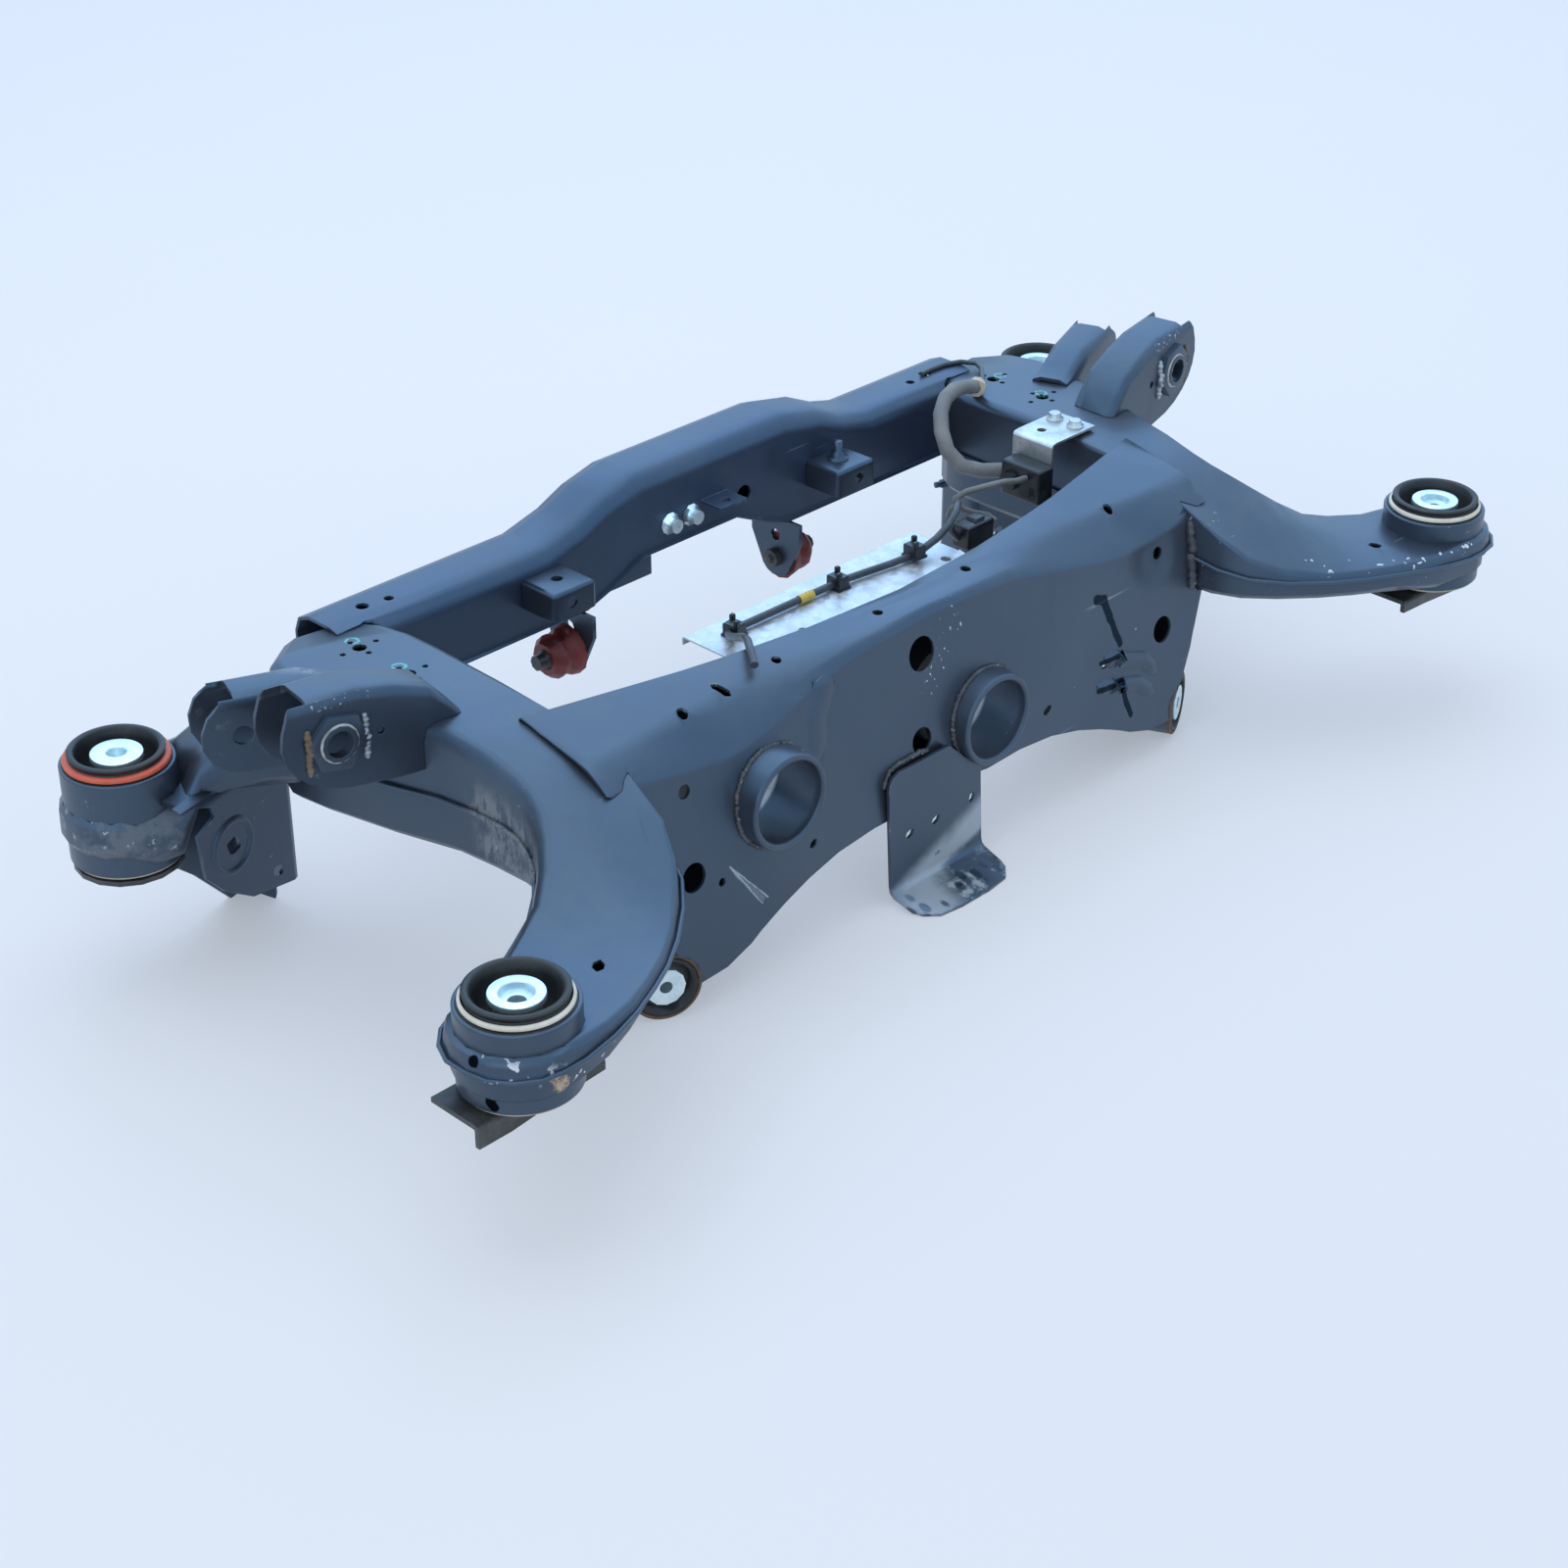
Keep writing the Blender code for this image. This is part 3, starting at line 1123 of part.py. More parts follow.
def build_beam_brackets(beam_cutter):
    low = BOX_TOP - BOX_TALL

    def box(name, mirror):
        def folded(edge):
            ends = [v.co for v in edge.verts]
            front = all(p.y < BOX_FRONT_Y + 1e-5 for p in ends)
            over = all(p.z > BOX_TOP - 1e-5 for p in ends)
            under = all(p.z < low + 1e-5 for p in ends)
            rear = all(p.y > BOX_FRONT_Y + 0.01 for p in ends)
            return (front or over) and not under and not rear

        shell = block((BOX_INNER_X, BOX_FRONT_Y, low), (BOX_INNER_X + BOX_WIDE, BEAM_FRONT_Y + 0.012, BOX_TOP),
                      0.004, 2, folded)
        gone = [f for f in shell.faces if f.normal.z < -0.9 or f.normal.y > 0.9]
        bmesh.ops.delete(shell, geom=gone, context="FACES")
        cuts = [rod((0.166, BOX_FRONT_Y, BOX_TOP - 0.0125), (0, 1, 0), 0.0050, 0.02, 10)]
        adds = []
        if mirror:
            cuts.append(rod((BOX_HOLE[0], BOX_HOLE[1], BOX_TOP), (0, 0, 1), 0.0050, 0.02, 10))
        else:
            profile = [(0, -0.001), (0.0095, -0.001), (0.0095, 0.0018), (0.0062, 0.0025), (0.0062, 0.007),
                       (0.0035, 0.0075), (0.0035, 0.016), (0, 0.016)]
            adds = [turned(lathe(profile, 12), Matrix.Translation((BOX_HOLE[0], BOX_HOLE[1], BOX_TOP)))]
        emit(name, shell, frame_paint, mirror, SHEET, [beam_cutter] + cuts, None, adds)

    def hanger(name, mirror):
        top = BEAM_BOTTOM - GAP
        inside = BEAM_FRONT_Y + SHEET
        points = [(inside, top), (inside, top - SHEET), (HANGER_Y - HANGER_HALF, top - SHEET),
                  (HANGER_Y - HANGER_HALF, -0.030)]
        points += [(HANGER_Y + x, HANGER_BOLT_Z + z) for x, z in arc(0, 0, 0.0185, 195, 345, 7)]
        points += [(HANGER_Y + HANGER_HALF, -0.030), (HANGER_Y + HANGER_HALF, top)]
        place = frame_matrix((HANGER_X - HANGER_SHEET / 2, 0, 0), (1, 0, 0), (0, 1, 0))
        plate = turned(prism(points, HANGER_SHEET), place)
        emit(name, plate, bracket_paint, mirror, 0.0,
             [rod((HANGER_X, HANGER_Y, -0.028), (1, 0, 0), 0.0055, 0.02, 8),
              rod((HANGER_X, HANGER_Y, HANGER_BOLT_Z), (1, 0, 0), BOLT_R + GAP, 0.02, 8)])

    def stop(name, mirror):
        start = HANGER_X + HANGER_SHEET / 2 + GAP
        profile = [(BOLT_R + GAP, 0), (0.0220, 0), (0.0205, 0.008), (0.0165, 0.011),
                   (0.0190, 0.017), (0.0190, 0.022), (0.0140, STOP_LENGTH), (BOLT_R + GAP, STOP_LENGTH)]
        body = turned(lathe(profile, 12), frame_matrix((start, HANGER_Y, HANGER_BOLT_Z), (1, 0, 0)))
        notch = block((start + 0.006, HANGER_Y - 0.006, HANGER_BOLT_Z + 0.013),
                      (start + 0.04, HANGER_Y + 0.006, HANGER_BOLT_Z + 0.04))
        emit(name, body, red_rubber, mirror, 0.0, [notch])

    def bolt(name, mirror):
        start = HANGER_X - HANGER_SHEET / 2
        end = HANGER_SHEET + 2 * GAP + STOP_LENGTH
        profile = [(0, -0.010), (BOLT_R, -0.010), (BOLT_R, -0.0068), (0.0085, -0.0068),
                   (0.0085, -GAP), (BOLT_R, -GAP), (BOLT_R, end), (0.0095, end), (0.0068, end + 0.0024),
                   (0.0068, end + 0.009), (0, end + 0.009)]
        place = frame_matrix((start, HANGER_Y, HANGER_BOLT_Z), (1, 0, 0))
        emit(name, turned(lathe(profile, 8), place), black_steel, mirror)

    both("box_bracket", box)
    both("hanger_plate", hanger)
    both("red_stop", stop)
    both("stop_bolt", bolt)
    for name, x in zip(("left", "right"), FLANGE_BOLT_XS):
        profile = [(0, -0.010), (BOLT_R, -0.010), (BOLT_R, GAP), (0.0100, GAP), (0.0062, 0.0030),
                   (0.0062, 0.0095), (0, 0.0095)]
        place = frame_matrix((x, BEAM_FRONT_Y, FLANGE_BOLT_Z), (0, -1, 0))
        emit("flange_bolt_" + name, turned(lathe(profile, 10), place), zinc)


# Centre bracket: a plate on the face of the near crossmember, with a foot that turns forward.
CENTRE_LEFT_X = -0.074
CENTRE_RIGHT_X = 0.034
CENTRE_SHEET = 0.0030
FOOT_DEPTH = 0.034


def build_centre_bracket():
    middle = (CENTRE_LEFT_X + CENTRE_RIGHT_X) / 2
    half = (CENTRE_RIGHT_X - CENTRE_LEFT_X) / 2
    spots = [(x, z) for x in (CENTRE_LEFT_X, middle, CENTRE_RIGHT_X) for z in (-0.065, -0.085, -0.107)]
    base = min(face_y(x, z) for x, z in spots) - CENTRE_SHEET - GAP
    floor = -FLOOR_DROP
    rows = []
    for share in (-1.0, -0.92, -0.72, -0.3, 0.3, 0.72, 0.92, 1.0):
        x = middle + half * share
        reach = FOOT_DEPTH * (1 - 0.62 * abs(share) ** 6)
        points = [(base + 0.002, -0.055), (base, -0.110),
                  (base - 0.003, floor + 0.016)]
        points += arc(base - 0.009, floor + 0.015, 0.006, 0, -70, 2)[1:]
        points += [(base - 0.012 - reach, floor + CENTRE_SHEET)]
        rows.append([Vector((x, y, z)) for y, z in points])
    shell, _ = grid(rows)
    face_up(shell, Vector((middle, base - 0.03, floor + 0.006)))
    outline = [(CENTRE_LEFT_X, -0.20), (CENTRE_LEFT_X, -0.076), (-0.070, -0.069), (-0.062, -0.0655), (-0.004, -0.0650),
               (0.0175, -0.085), (0.030, -0.0915), (CENTRE_RIGHT_X, -0.097), (CENTRE_RIGHT_X, -0.20)]
    keep = side_outline(outline, -0.25, -0.05)
    cuts = [slot_rod((-0.0512, base, -0.125), (0, 1, 0), (1, 0, 0.4), 0.011, 0.0065, 0.05),
            slot_rod((-0.0205, base, -0.125), (0, 1, 0), (1, 0, 0.4), 0.011, 0.0060, 0.05),
            slot_rod((0.0230, base, -0.1225), (0, 1, 0), (0.4, 0, 1), 0.010, 0.0060, 0.05),
            slot_rod((-0.0190, base, -0.156), (0, 1, 0), (1, 0, 0), 0.007, 0.0035, 0.05)]
    for x, z in tube_centres():
        cuts.append(rod((x, FACE_Y, z), (0, 1, 0), TUBE_R + GAP, 0.10, TUBE_SIDES))
    emit("centre_bracket", shell, frame_paint, False, CENTRE_SHEET, cuts, keep)


# Sheet and cable parts between the crossmembers
SHIELD_Z = 0.0185
SHIELD_T = 0.0014
SHIELD_LEFT_X = -0.134
SHIELD_RIGHT_X = 0.132
SHIELD_FAR_Y = 0.030
CLIPS = ((-0.104, 0.002, 8), (0.013, 0.0015, -2), (0.093, -0.009, -4))


def cable_z():
    return SHIELD_Z + SHIELD_T + 0.0012 + CABLE_R


def build_shield():
    rows = []
    for x in (SHIELD_LEFT_X, -0.095, -0.05, 0.0, 0.05, 0.095, SHIELD_RIGHT_X):
        wall = interp(abs(x), [(s, box_back_y(s)) for s in BOX_XS]) - SHEET - GAP + SHIELD_T
        top = SHIELD_Z + SHIELD_T
        points = [(wall, top + 0.012), (wall, top + 0.002), (wall + 0.0015, top), (wall * 0.5 + SHIELD_FAR_Y * 0.5, top),
                  (SHIELD_FAR_Y - 0.002, top), (SHIELD_FAR_Y, top - 0.0015), (SHIELD_FAR_Y, top - 0.007)]
        rows.append([Vector((x, y, z)) for y, z in points])
    shell, _ = grid(rows)
    face_up(shell, Vector((0, -0.01, SHIELD_Z + SHIELD_T)))
    adds = []
    cuts = [rod((0.113, -0.026, SHIELD_Z), (0, 0, 1), 0.005, 0.02, 8),
            rod((-0.060, -0.030, SHIELD_Z), (0, 0, 1), 0.004, 0.02, 8)]
    for x, y, turn in CLIPS[:2]:
        place = Matrix.Translation((x, y, SHIELD_Z)) @ Matrix.Rotation(math.radians(turn), 4, "Z")
        height = cable_z() - SHIELD_Z + CABLE_R + 0.0022
        adds.append(turned(block((-0.005, -0.0065, 0.0007), (0.005, 0.0065, height), 0.001, 1), place))
        cuts.append(turned(rod((0, 0, cable_z() - SHIELD_Z), (1, 0, 0), CABLE_R + 0.0008, 0.04, 8), place))
    emit("shield_plate", shell, galvanised, False, SHIELD_T, cuts, None, adds)


def smooth_path(points, spacing):
    """Even points along a Catmull-Rom curve through the given ones."""
    ends = [points[0] * 2 - points[1]] + points + [points[-1] * 2 - points[-2]]
    fine = []
    for a, b, c, d in zip(ends, ends[1:], ends[2:], ends[3:]):
        for k in range(24):
            t = k / 24
            fine.append(0.5 * ((2 * b) + (c - a) * t + (2 * a - 5 * b + 4 * c - d) * t * t
                               + (3 * b - a - 3 * c + d) * t ** 3))
    fine.append(points[-1])
    total = sum((b - a).length for a, b in zip(fine, fine[1:]))
    step = total / max(2, round(total / spacing))
    made, run, target = [fine[0]], 0.0, step
    for a, b in zip(fine, fine[1:]):
        length = (b - a).length
        while run + length >= target - 1e-9 and length > 0:
            made.append(a + (b - a) * ((target - run) / length))
            target += step
        run += length
    if (made[-1] - fine[-1]).length > step * 0.3:
        made.append(fine[-1])
    return made


def tube_curve(name, points, radius, material, spacing):
    curve = bpy.data.curves.new(name, "CURVE")
    curve.dimensions = "3D"
    curve.bevel_depth = radius
    curve.bevel_resolution = 2
    curve.use_fill_caps = True
    path = smooth_path([Vector(p) for p in points], spacing)
    spline = curve.splines.new("POLY")
    spline.points.add(len(path) - 1)
    for slot, point in zip(spline.points, path):
        slot.co = (*point, 1.0)
    curve.materials.append(material)
    obj = bpy.data.objects.new(name, curve)
    obj.parent = origin
    bpy.context.scene.collection.objects.link(obj)
    return obj


CONNECTOR_AT = (0.206, 0.025, -0.004)
CONNECTOR_SIZE = (0.034, 0.020, 0.022)
SENSOR_FACE_X = 0.2838
SENSOR_BACK_X = 0.264
SENSOR_LOW = 0.006
SENSOR_HIGH = 0.039
STRAP_T = 0.0022


def build_cables():
    z = cable_z()
    start = [(-0.172, -0.088, 0.0530), (-0.160, -0.071, 0.0566), (-0.147, -0.054, 0.0540), (-0.130, -0.026, 0.038),
             (-0.118, -0.004, z + 0.002)]
    for x, y, turn in CLIPS[:2]:
        way = Vector((math.cos(math.radians(turn)), math.sin(math.radians(turn)), 0)) * 0.008
        start += [Vector((x, y, z)) - way, Vector((x, y, z)) + way]
    x, y, turn = CLIPS[2]
    half = CONNECTOR_SIZE[0] / 2
    start += [(x, y, z + 0.001), (0.130, -0.012, z + 0.014), (0.158, 0.002, z + 0.021), (0.170, 0.021, z + 0.002),
              (CONNECTOR_AT[0] - half - 0.009, CONNECTOR_AT[1], CONNECTOR_AT[2] + 0.003),
              (CONNECTOR_AT[0] - half - 0.0022, CONNECTOR_AT[1], CONNECTOR_AT[2])]
    tube_curve("harness_cable", start, CABLE_R, black_plastic, 0.0165)

    top = RAIL_TOP + LEAD_R + GAP
    tail = [(0.3285, 0.128, top), (0.308, 0.127, top + 0.006), (0.279, 0.122, top + 0.009), (0.252, 0.106, top - 0.002),
            (0.238, 0.083, top - 0.022), (0.247, 0.070, 0.027), (0.263, 0.0610, 0.0225),
            ((SENSOR_FACE_X + SENSOR_BACK_X) / 2, 0.0512, 0.0225)]
    tube_curve("grey_sleeve", tail, LEAD_R, grey_sleeve, 0.0200)

    loop = [(SENSOR_BACK_X - 0.0012, 0.016, 0.030), (0.251, 0.0165, 0.0310), (0.242, 0.018, 0.0335), (0.219, 0.024, 0.034), (0.203, 0.036, 0.029),
            (0.204, 0.046, 0.016), (0.222, 0.043, 0.003), (0.240, 0.034, -0.004), (0.238, 0.027, -0.005),
            (CONNECTOR_AT[0] + half + 0.0022, CONNECTOR_AT[1], CONNECTOR_AT[2])]
    tube_curve("sensor_lead", loop, CABLE_R * 0.85, black_plastic, 0.0120)

    sx, sy, sz = (s / 2 for s in CONNECTOR_SIZE)
    cx, cy, cz = CONNECTOR_AT
    body = block((cx - sx, cy - sy, cz - sz), (cx + sx, cy + sy, cz + sz), 0.0025, 2)
    ridge = block((cx - sx * 0.2, cy - sy * 0.6, cz + sz - 0.001), (cx + sx * 0.5, cy + sy * 0.6, cz + sz + 0.003), 0.001, 1)
    emit("connector", body, black_plastic, False, 0.0, [], None, [ridge])


def build_sensor():
    low_y, high_y = 0.002, 0.046
    body = block((SENSOR_BACK_X, low_y, SENSOR_LOW), (SENSOR_FACE_X, high_y, SENSOR_HIGH), 0.003, 2)
    boss = rod((SENSOR_BACK_X - 0.001, 0.034, 0.022), (1, 0, 0), 0.009, 0.008, 16)
    pocket = block((SENSOR_BACK_X - 0.01, 0.006, 0.012), (SENSOR_BACK_X + 0.003, 0.013, 0.022))
    emit("level_sensor", body, black_plastic, False, 0.0, [pocket], None, [boss])

    top = RAIL_TOP + GAP + STRAP_T
    strap = SENSOR_FACE_X + GAP + STRAP_T
    rows = []
    for y in (0.006, 0.050):
        points = [(0.342, top), (0.318, top), (strap + 0.004, top), (strap + 0.0012 - STRAP_T, top - 0.0008),
                  (strap - STRAP_T, top - 0.0036), (strap - STRAP_T, 0.030), (strap - STRAP_T, SENSOR_LOW + 0.006)]
        rows.append([Vector((x, y, z)) for x, z in points])
    shell, _ = grid(rows)
    face_up(shell, Vector((0.33, 0.028, top)))
    adds = []
    for y in (0.0175, 0.0405):
        profile = [(0, -STRAP_T * 0.5), (0.0075, -STRAP_T * 0.5), (0.0078, 0.0014), (0.0055, 0.0018), (0.0055, 0.0056),
                   (0.0045, 0.0062), (0, 0.0062)]
        adds.append(turned(lathe(profile, 12), Matrix.Translation((0.3285, y, top))))
    cuts = [rod((0.302, 0.033, top), (0, 0, 1), 0.0042, 0.02, 12)]
    emit("sensor_bracket", shell, zinc, False, STRAP_T, cuts, None, adds)


build_rails()
rail_cutters = (guide("rail_form_right", rail_hull(GAP)), guide("rail_form_left", rail_hull(GAP), True))
arm_cutters = (guide("arm_form_right", grown(far_arm_shell(True), GAP)),
               guide("arm_form_left", grown(far_arm_shell(True), GAP), True))
beam_cutter = guide("beam_form", beam_form())
build_crossmember(rail_cutters)
build_tubes()
build_sleeves()
build_mounts()
build_stop_plates()
build_far_arms(rail_cutters)
build_ear_brackets(rail_cutters)
build_front_link_brackets(rail_cutters, arm_cutters)
build_lower_brackets(arm_cutters, rail_cutters)
build_beam(rail_cutters)
build_beam_brackets(beam_cutter)
build_centre_bracket()
build_shield()
build_cables()
build_sensor()
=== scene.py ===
import math
import random

import bmesh
import bpy
from mathutils import Matrix, Vector
from mathutils.bvhtree import BVHTree


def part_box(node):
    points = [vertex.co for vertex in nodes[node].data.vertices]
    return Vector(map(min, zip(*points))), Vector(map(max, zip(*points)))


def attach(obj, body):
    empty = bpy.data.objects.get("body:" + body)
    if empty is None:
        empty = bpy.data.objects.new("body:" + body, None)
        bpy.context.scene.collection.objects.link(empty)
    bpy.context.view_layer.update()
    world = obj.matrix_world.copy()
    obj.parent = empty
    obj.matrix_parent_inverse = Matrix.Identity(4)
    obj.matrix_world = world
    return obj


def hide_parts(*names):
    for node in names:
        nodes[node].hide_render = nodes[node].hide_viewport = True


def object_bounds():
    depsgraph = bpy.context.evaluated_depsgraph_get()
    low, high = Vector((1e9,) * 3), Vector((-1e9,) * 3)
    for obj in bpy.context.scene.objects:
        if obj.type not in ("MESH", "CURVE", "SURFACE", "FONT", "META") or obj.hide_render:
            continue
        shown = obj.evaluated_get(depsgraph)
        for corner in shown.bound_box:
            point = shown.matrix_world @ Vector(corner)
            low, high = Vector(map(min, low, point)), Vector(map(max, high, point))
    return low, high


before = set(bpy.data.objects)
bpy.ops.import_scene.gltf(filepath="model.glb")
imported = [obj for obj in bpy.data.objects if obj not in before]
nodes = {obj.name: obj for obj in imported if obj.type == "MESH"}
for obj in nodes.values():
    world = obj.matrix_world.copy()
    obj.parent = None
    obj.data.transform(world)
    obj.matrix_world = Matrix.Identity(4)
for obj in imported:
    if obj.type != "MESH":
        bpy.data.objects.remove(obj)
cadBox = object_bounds()
chance = random.Random(7)

# The part's own datum: heights count from the tops of the mount inserts, and y from midway between the mounts
railTop = 0.055
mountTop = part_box("mount_insert_near_left")[1].z
midY = sum(corner.y for name in ("near", "far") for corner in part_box("mount_insert_" + name + "_left")) / 4


def at(x, y, z):
    return Vector((x, y + midY, z + mountTop))


def path(points):
    return [at(*point) for point in points]


# Shader maths: a socket that takes part in Python expressions
class Wire:
    def __init__(self, tree, socket=None):
        self.tree = tree
        self.socket = socket

    def node(self, kind, settings=None, inputs=None, out=0):
        made = self.tree.nodes.new("ShaderNode" + kind)
        for name, value in (settings or {}).items():
            if name == "stops":
                ramp = made.color_ramp
                for index, (place, shade) in enumerate(value):
                    stop = ramp.elements[index] if index < 2 else ramp.elements.new(place)
                    stop.position = place
                    stop.color = (*shade, 1.0)
            else:
                setattr(made, name, value)
        for name, value in (inputs or {}).items():
            if isinstance(value, Wire):
                self.tree.links.new(value.socket, made.inputs[name])
            else:
                made.inputs[name].default_value = value
        return Wire(self.tree, made.outputs[out])

    def maths(self, operation, *others):
        inputs = {index: value for index, value in enumerate((self, *others))}
        return self.node("Math", {"operation": operation}, inputs)

    def __add__(self, other):
        return self.maths("ADD", other)

    def __sub__(self, other):
        return self.maths("SUBTRACT", other)

    def __mul__(self, other):
        return self.maths("MULTIPLY", other)

    def __truediv__(self, other):
        return self.maths("DIVIDE", other)

    def most(self, other):
        return self.maths("MAXIMUM", other)

    def step(self, low, high, start=0.0, end=1.0):
        inputs = {"Value": self, "From Min": low, "From Max": high, "To Min": start, "To Max": end}
        return self.node("MapRange", {"interpolation_type": "SMOOTHSTEP"}, inputs)

    def between(self, first, second):
        def tone(value):
            return value if isinstance(value, Wire) else (*value, 1.0)
        return self.node("Mix", {"data_type": "RGBA"}, {0: self, 6: tone(first), 7: tone(second)}, 2)

    def vector(self, operation, other=None, out=0, scale=None):
        inputs = {0: self}
        if other is not None:
            inputs[1] = other
        if scale is not None:
            inputs["Scale"] = scale
        return self.node("VectorMath", {"operation": operation}, inputs, out)

    def moved(self, stretch, turn=(0, 0, 0)):
        return self.node("Mapping", None, {"Vector": self, "Scale": stretch, "Rotation": turn})

    def noise(self, scale, detail=4.0, rough=0.55, twist=0.0):
        inputs = {"Vector": self, "Scale": scale, "Detail": detail, "Roughness": rough, "Distortion": twist}
        return self.node("TexNoise", None, inputs)

    def farFrom(self, place):
        return self.vector("SUBTRACT", place).vector("LENGTH", None, 1)

    def dab(self, centre, width, soft=0.5):
        # 1 at the centre, given in the part's own datum, falling to 0 at the width
        return self.farFrom(tuple(at(*centre))).step(width * soft, width, 1.0, 0.0)

    def near(self, first, second, width, soft=0.5):
        # 1 on the line between two places, falling to 0 at the width
        start = at(*first)
        run = at(*second) - start
        off = self.vector("SUBTRACT", tuple(start))
        share = off.vector("DOT_PRODUCT", tuple(run), 1) / run.length_squared
        share = share.node("Clamp", None, {"Value": share})
        foot = self.node("VectorMath", {"operation": "SCALE"}, {0: tuple(run), "Scale": share})
        return off.farFrom(foot).step(width * soft, width, 1.0, 0.0)

    def ring(self, centre, radius, width):
        # 1 at the radius from the centre, falling to 0 at the width to both sides
        far = self.farFrom(tuple(at(*centre))) - radius
        return far.maths("ABSOLUTE").step(width * 0.35, width, 1.0, 0.0)

    def along(self, points, width, soft=0.5):
        marks = [self.near(first, second, width, soft) for first, second in zip(points, points[1:])]
        return strongest(marks)

    def folded(self):
        # the left half's coordinates laid over the right half's
        parts = [self.node("SeparateXYZ", None, {0: self}, axis) for axis in range(3)]
        return self.node("CombineXYZ", None, {0: parts[0].maths("ABSOLUTE"), 1: parts[1], 2: parts[2]})


def strongest(marks):
    most = marks[0]
    for mark in marks[1:]:
        most = most.most(mark)
    return most


def newMaterial(name, metallic=0.0):
    material = bpy.data.materials.new(name)
    material.use_nodes = True
    tree = material.node_tree
    shader = tree.nodes["Principled BSDF"]
    shader.inputs["Metallic"].default_value = metallic
    wire = Wire(tree)
    spot = wire.node("TexCoord", None, None, 3)
    return material, shader, wire, spot


def plug(shader, **sockets):
    for name, value in sockets.items():
        target = shader.inputs[name.replace("_", " ")]
        if isinstance(value, Wire):
            value.tree.links.new(value.socket, target)
        else:
            target.default_value = value if isinstance(value, float) else (*value, 1.0)


def rounded(wire, radius, heights, strength, distance):
    # the sheet's edges look a little rounded, with the fine relief on top
    edge = wire.node("Bevel", {"samples": 4}, {"Radius": radius})
    inputs = {"Height": heights, "Strength": strength, "Distance": distance, "Normal": edge}
    return wire.node("Bump", None, inputs), edge


def scratchLines(spot, turn, density, low=0.735):
    lines = spot.moved((7, 260, 260), turn).noise(1.0, 2.0, 0.4)
    where = spot.noise(density, 2.0).step(0.52, 0.66)
    return lines.step(low, low + 0.03) * where


# Colours of each painted group, then what all of the paint has in common
paintLook = {
    "frame": {"body": (0.026, 0.031, 0.041), "pale": (0.036, 0.044, 0.060), "rough": 0.34},
    "bracket": {"body": (0.017, 0.020, 0.027), "pale": (0.028, 0.034, 0.046), "rough": 0.36},
    # the beam's paint is bluer than the frame's, partly a painted sheen for the sky mirrored on its top
    "beam": {"body": (0.019, 0.028, 0.052), "pale": (0.030, 0.041, 0.074), "rough": 0.40},
    "dust": (0.22, 0.21, 0.19),
    "primer": (0.62, 0.66, 0.68),
    "drip": (0.006, 0.008, 0.011),
    # hole: painted shade, the black inside openings that are painted on rather than cut
    "hole": (0.003, 0.003, 0.004),
    "chip": (0.60, 0.64, 0.66),
    "gloss": 1.85,
    "sheen": (0.44, 0.69, 1.0),
    "corner": 0.0011,
}


def paintMaterial(name, look, marks=None, dustAmount=0.12):
    material, shader, wire, spot = newMaterial(name)
    # the satin stove paint mirrors the sky bluish
    shader.inputs["IOR"].default_value = paintLook["gloss"]
    shader.inputs["Specular Tint"].default_value = (*paintLook["sheen"], 1.0)
    normal = wire.node("NewGeometry", None, None, 1)
    facing = normal.node("SeparateXYZ", None, {0: normal}, 2)
    cloud = spot.noise(4.5, 5.0, 0.6)
    grain = spot.noise(160.0, 3.0, 0.6)
    colour = cloud.step(0.36, 0.66).between(look["body"], look["pale"])
    # grey-brown dust lies where the sheet faces up, and in faint clouds
    dustSpread = spot.noise(11.0, 7.0, 0.66).step(0.44, 0.72)
    dust = (facing.step(0.15, 0.95) * 0.75 + 0.25) * dustSpread * dustAmount
    colour = dust.between(colour, paintLook["dust"])
    # scuffs and fine scratches show the paler undercoat
    fine = scratchLines(spot, (0.3, 0.2, 0.7), 3.1).most(scratchLines(spot, (1.1, 0.5, 2.3), 4.3, 0.745))
    colour = (fine * 0.30).between(colour, paintLook["primer"])
    speck = spot.noise(75.0, 2.0, 0.5).step(0.765, 0.785) * spot.noise(6.0, 2.0).step(0.54, 0.64)
    # paler paint at the sheet's edges: partly wear, partly a painted highlight along the rounded edges
    relief, edge = rounded(wire, paintLook["corner"], grain, 0.10, 0.0004)
    same = edge.vector("DOT_PRODUCT", normal, 1)
    wornAndHighlight = same.step(0.975, 0.90) * spot.noise(38.0, 6.0, 0.7).step(0.50, 0.62)
    colour = (wornAndHighlight * 0.55).between(colour, (0.20, 0.23, 0.27))
    chip = speck.most(wornAndHighlight * spot.noise(90.0, 3.0).step(0.60, 0.66))
    colour = (chip * 0.9).between(colour, paintLook["primer"])
    roughness = cloud.step(0.3, 0.7, look["rough"] - 0.05, look["rough"] + 0.07) + dust * 0.6 + fine * 0.1
    if marks:
        colour, roughness, lift, black = marks(spot, colour, roughness)
        if black:
            # a dark metal mirrors nothing, so runs and the painted shade of notches and slots stay black
            plug(shader, Metallic=black)
        if lift:
            # the marks' own relief, its height in metres
            relief = wire.node("Bump", None, {"Height": lift, "Strength": 1.0, "Distance": 1.0, "Normal": relief})
    plug(shader, Base_Color=colour, Roughness=roughness, Normal=relief)
    return material


def wobble(spot, amount, scale=60.0):
    shift = spot.node("TexNoise", None, {"Vector": spot, "Scale": scale, "Detail": 2.0}, 1)
    shift = shift.vector("SUBTRACT", (0.5, 0.5, 0.5)).vector("SCALE", None, 0, amount)
    return spot.vector("ADD", shift)


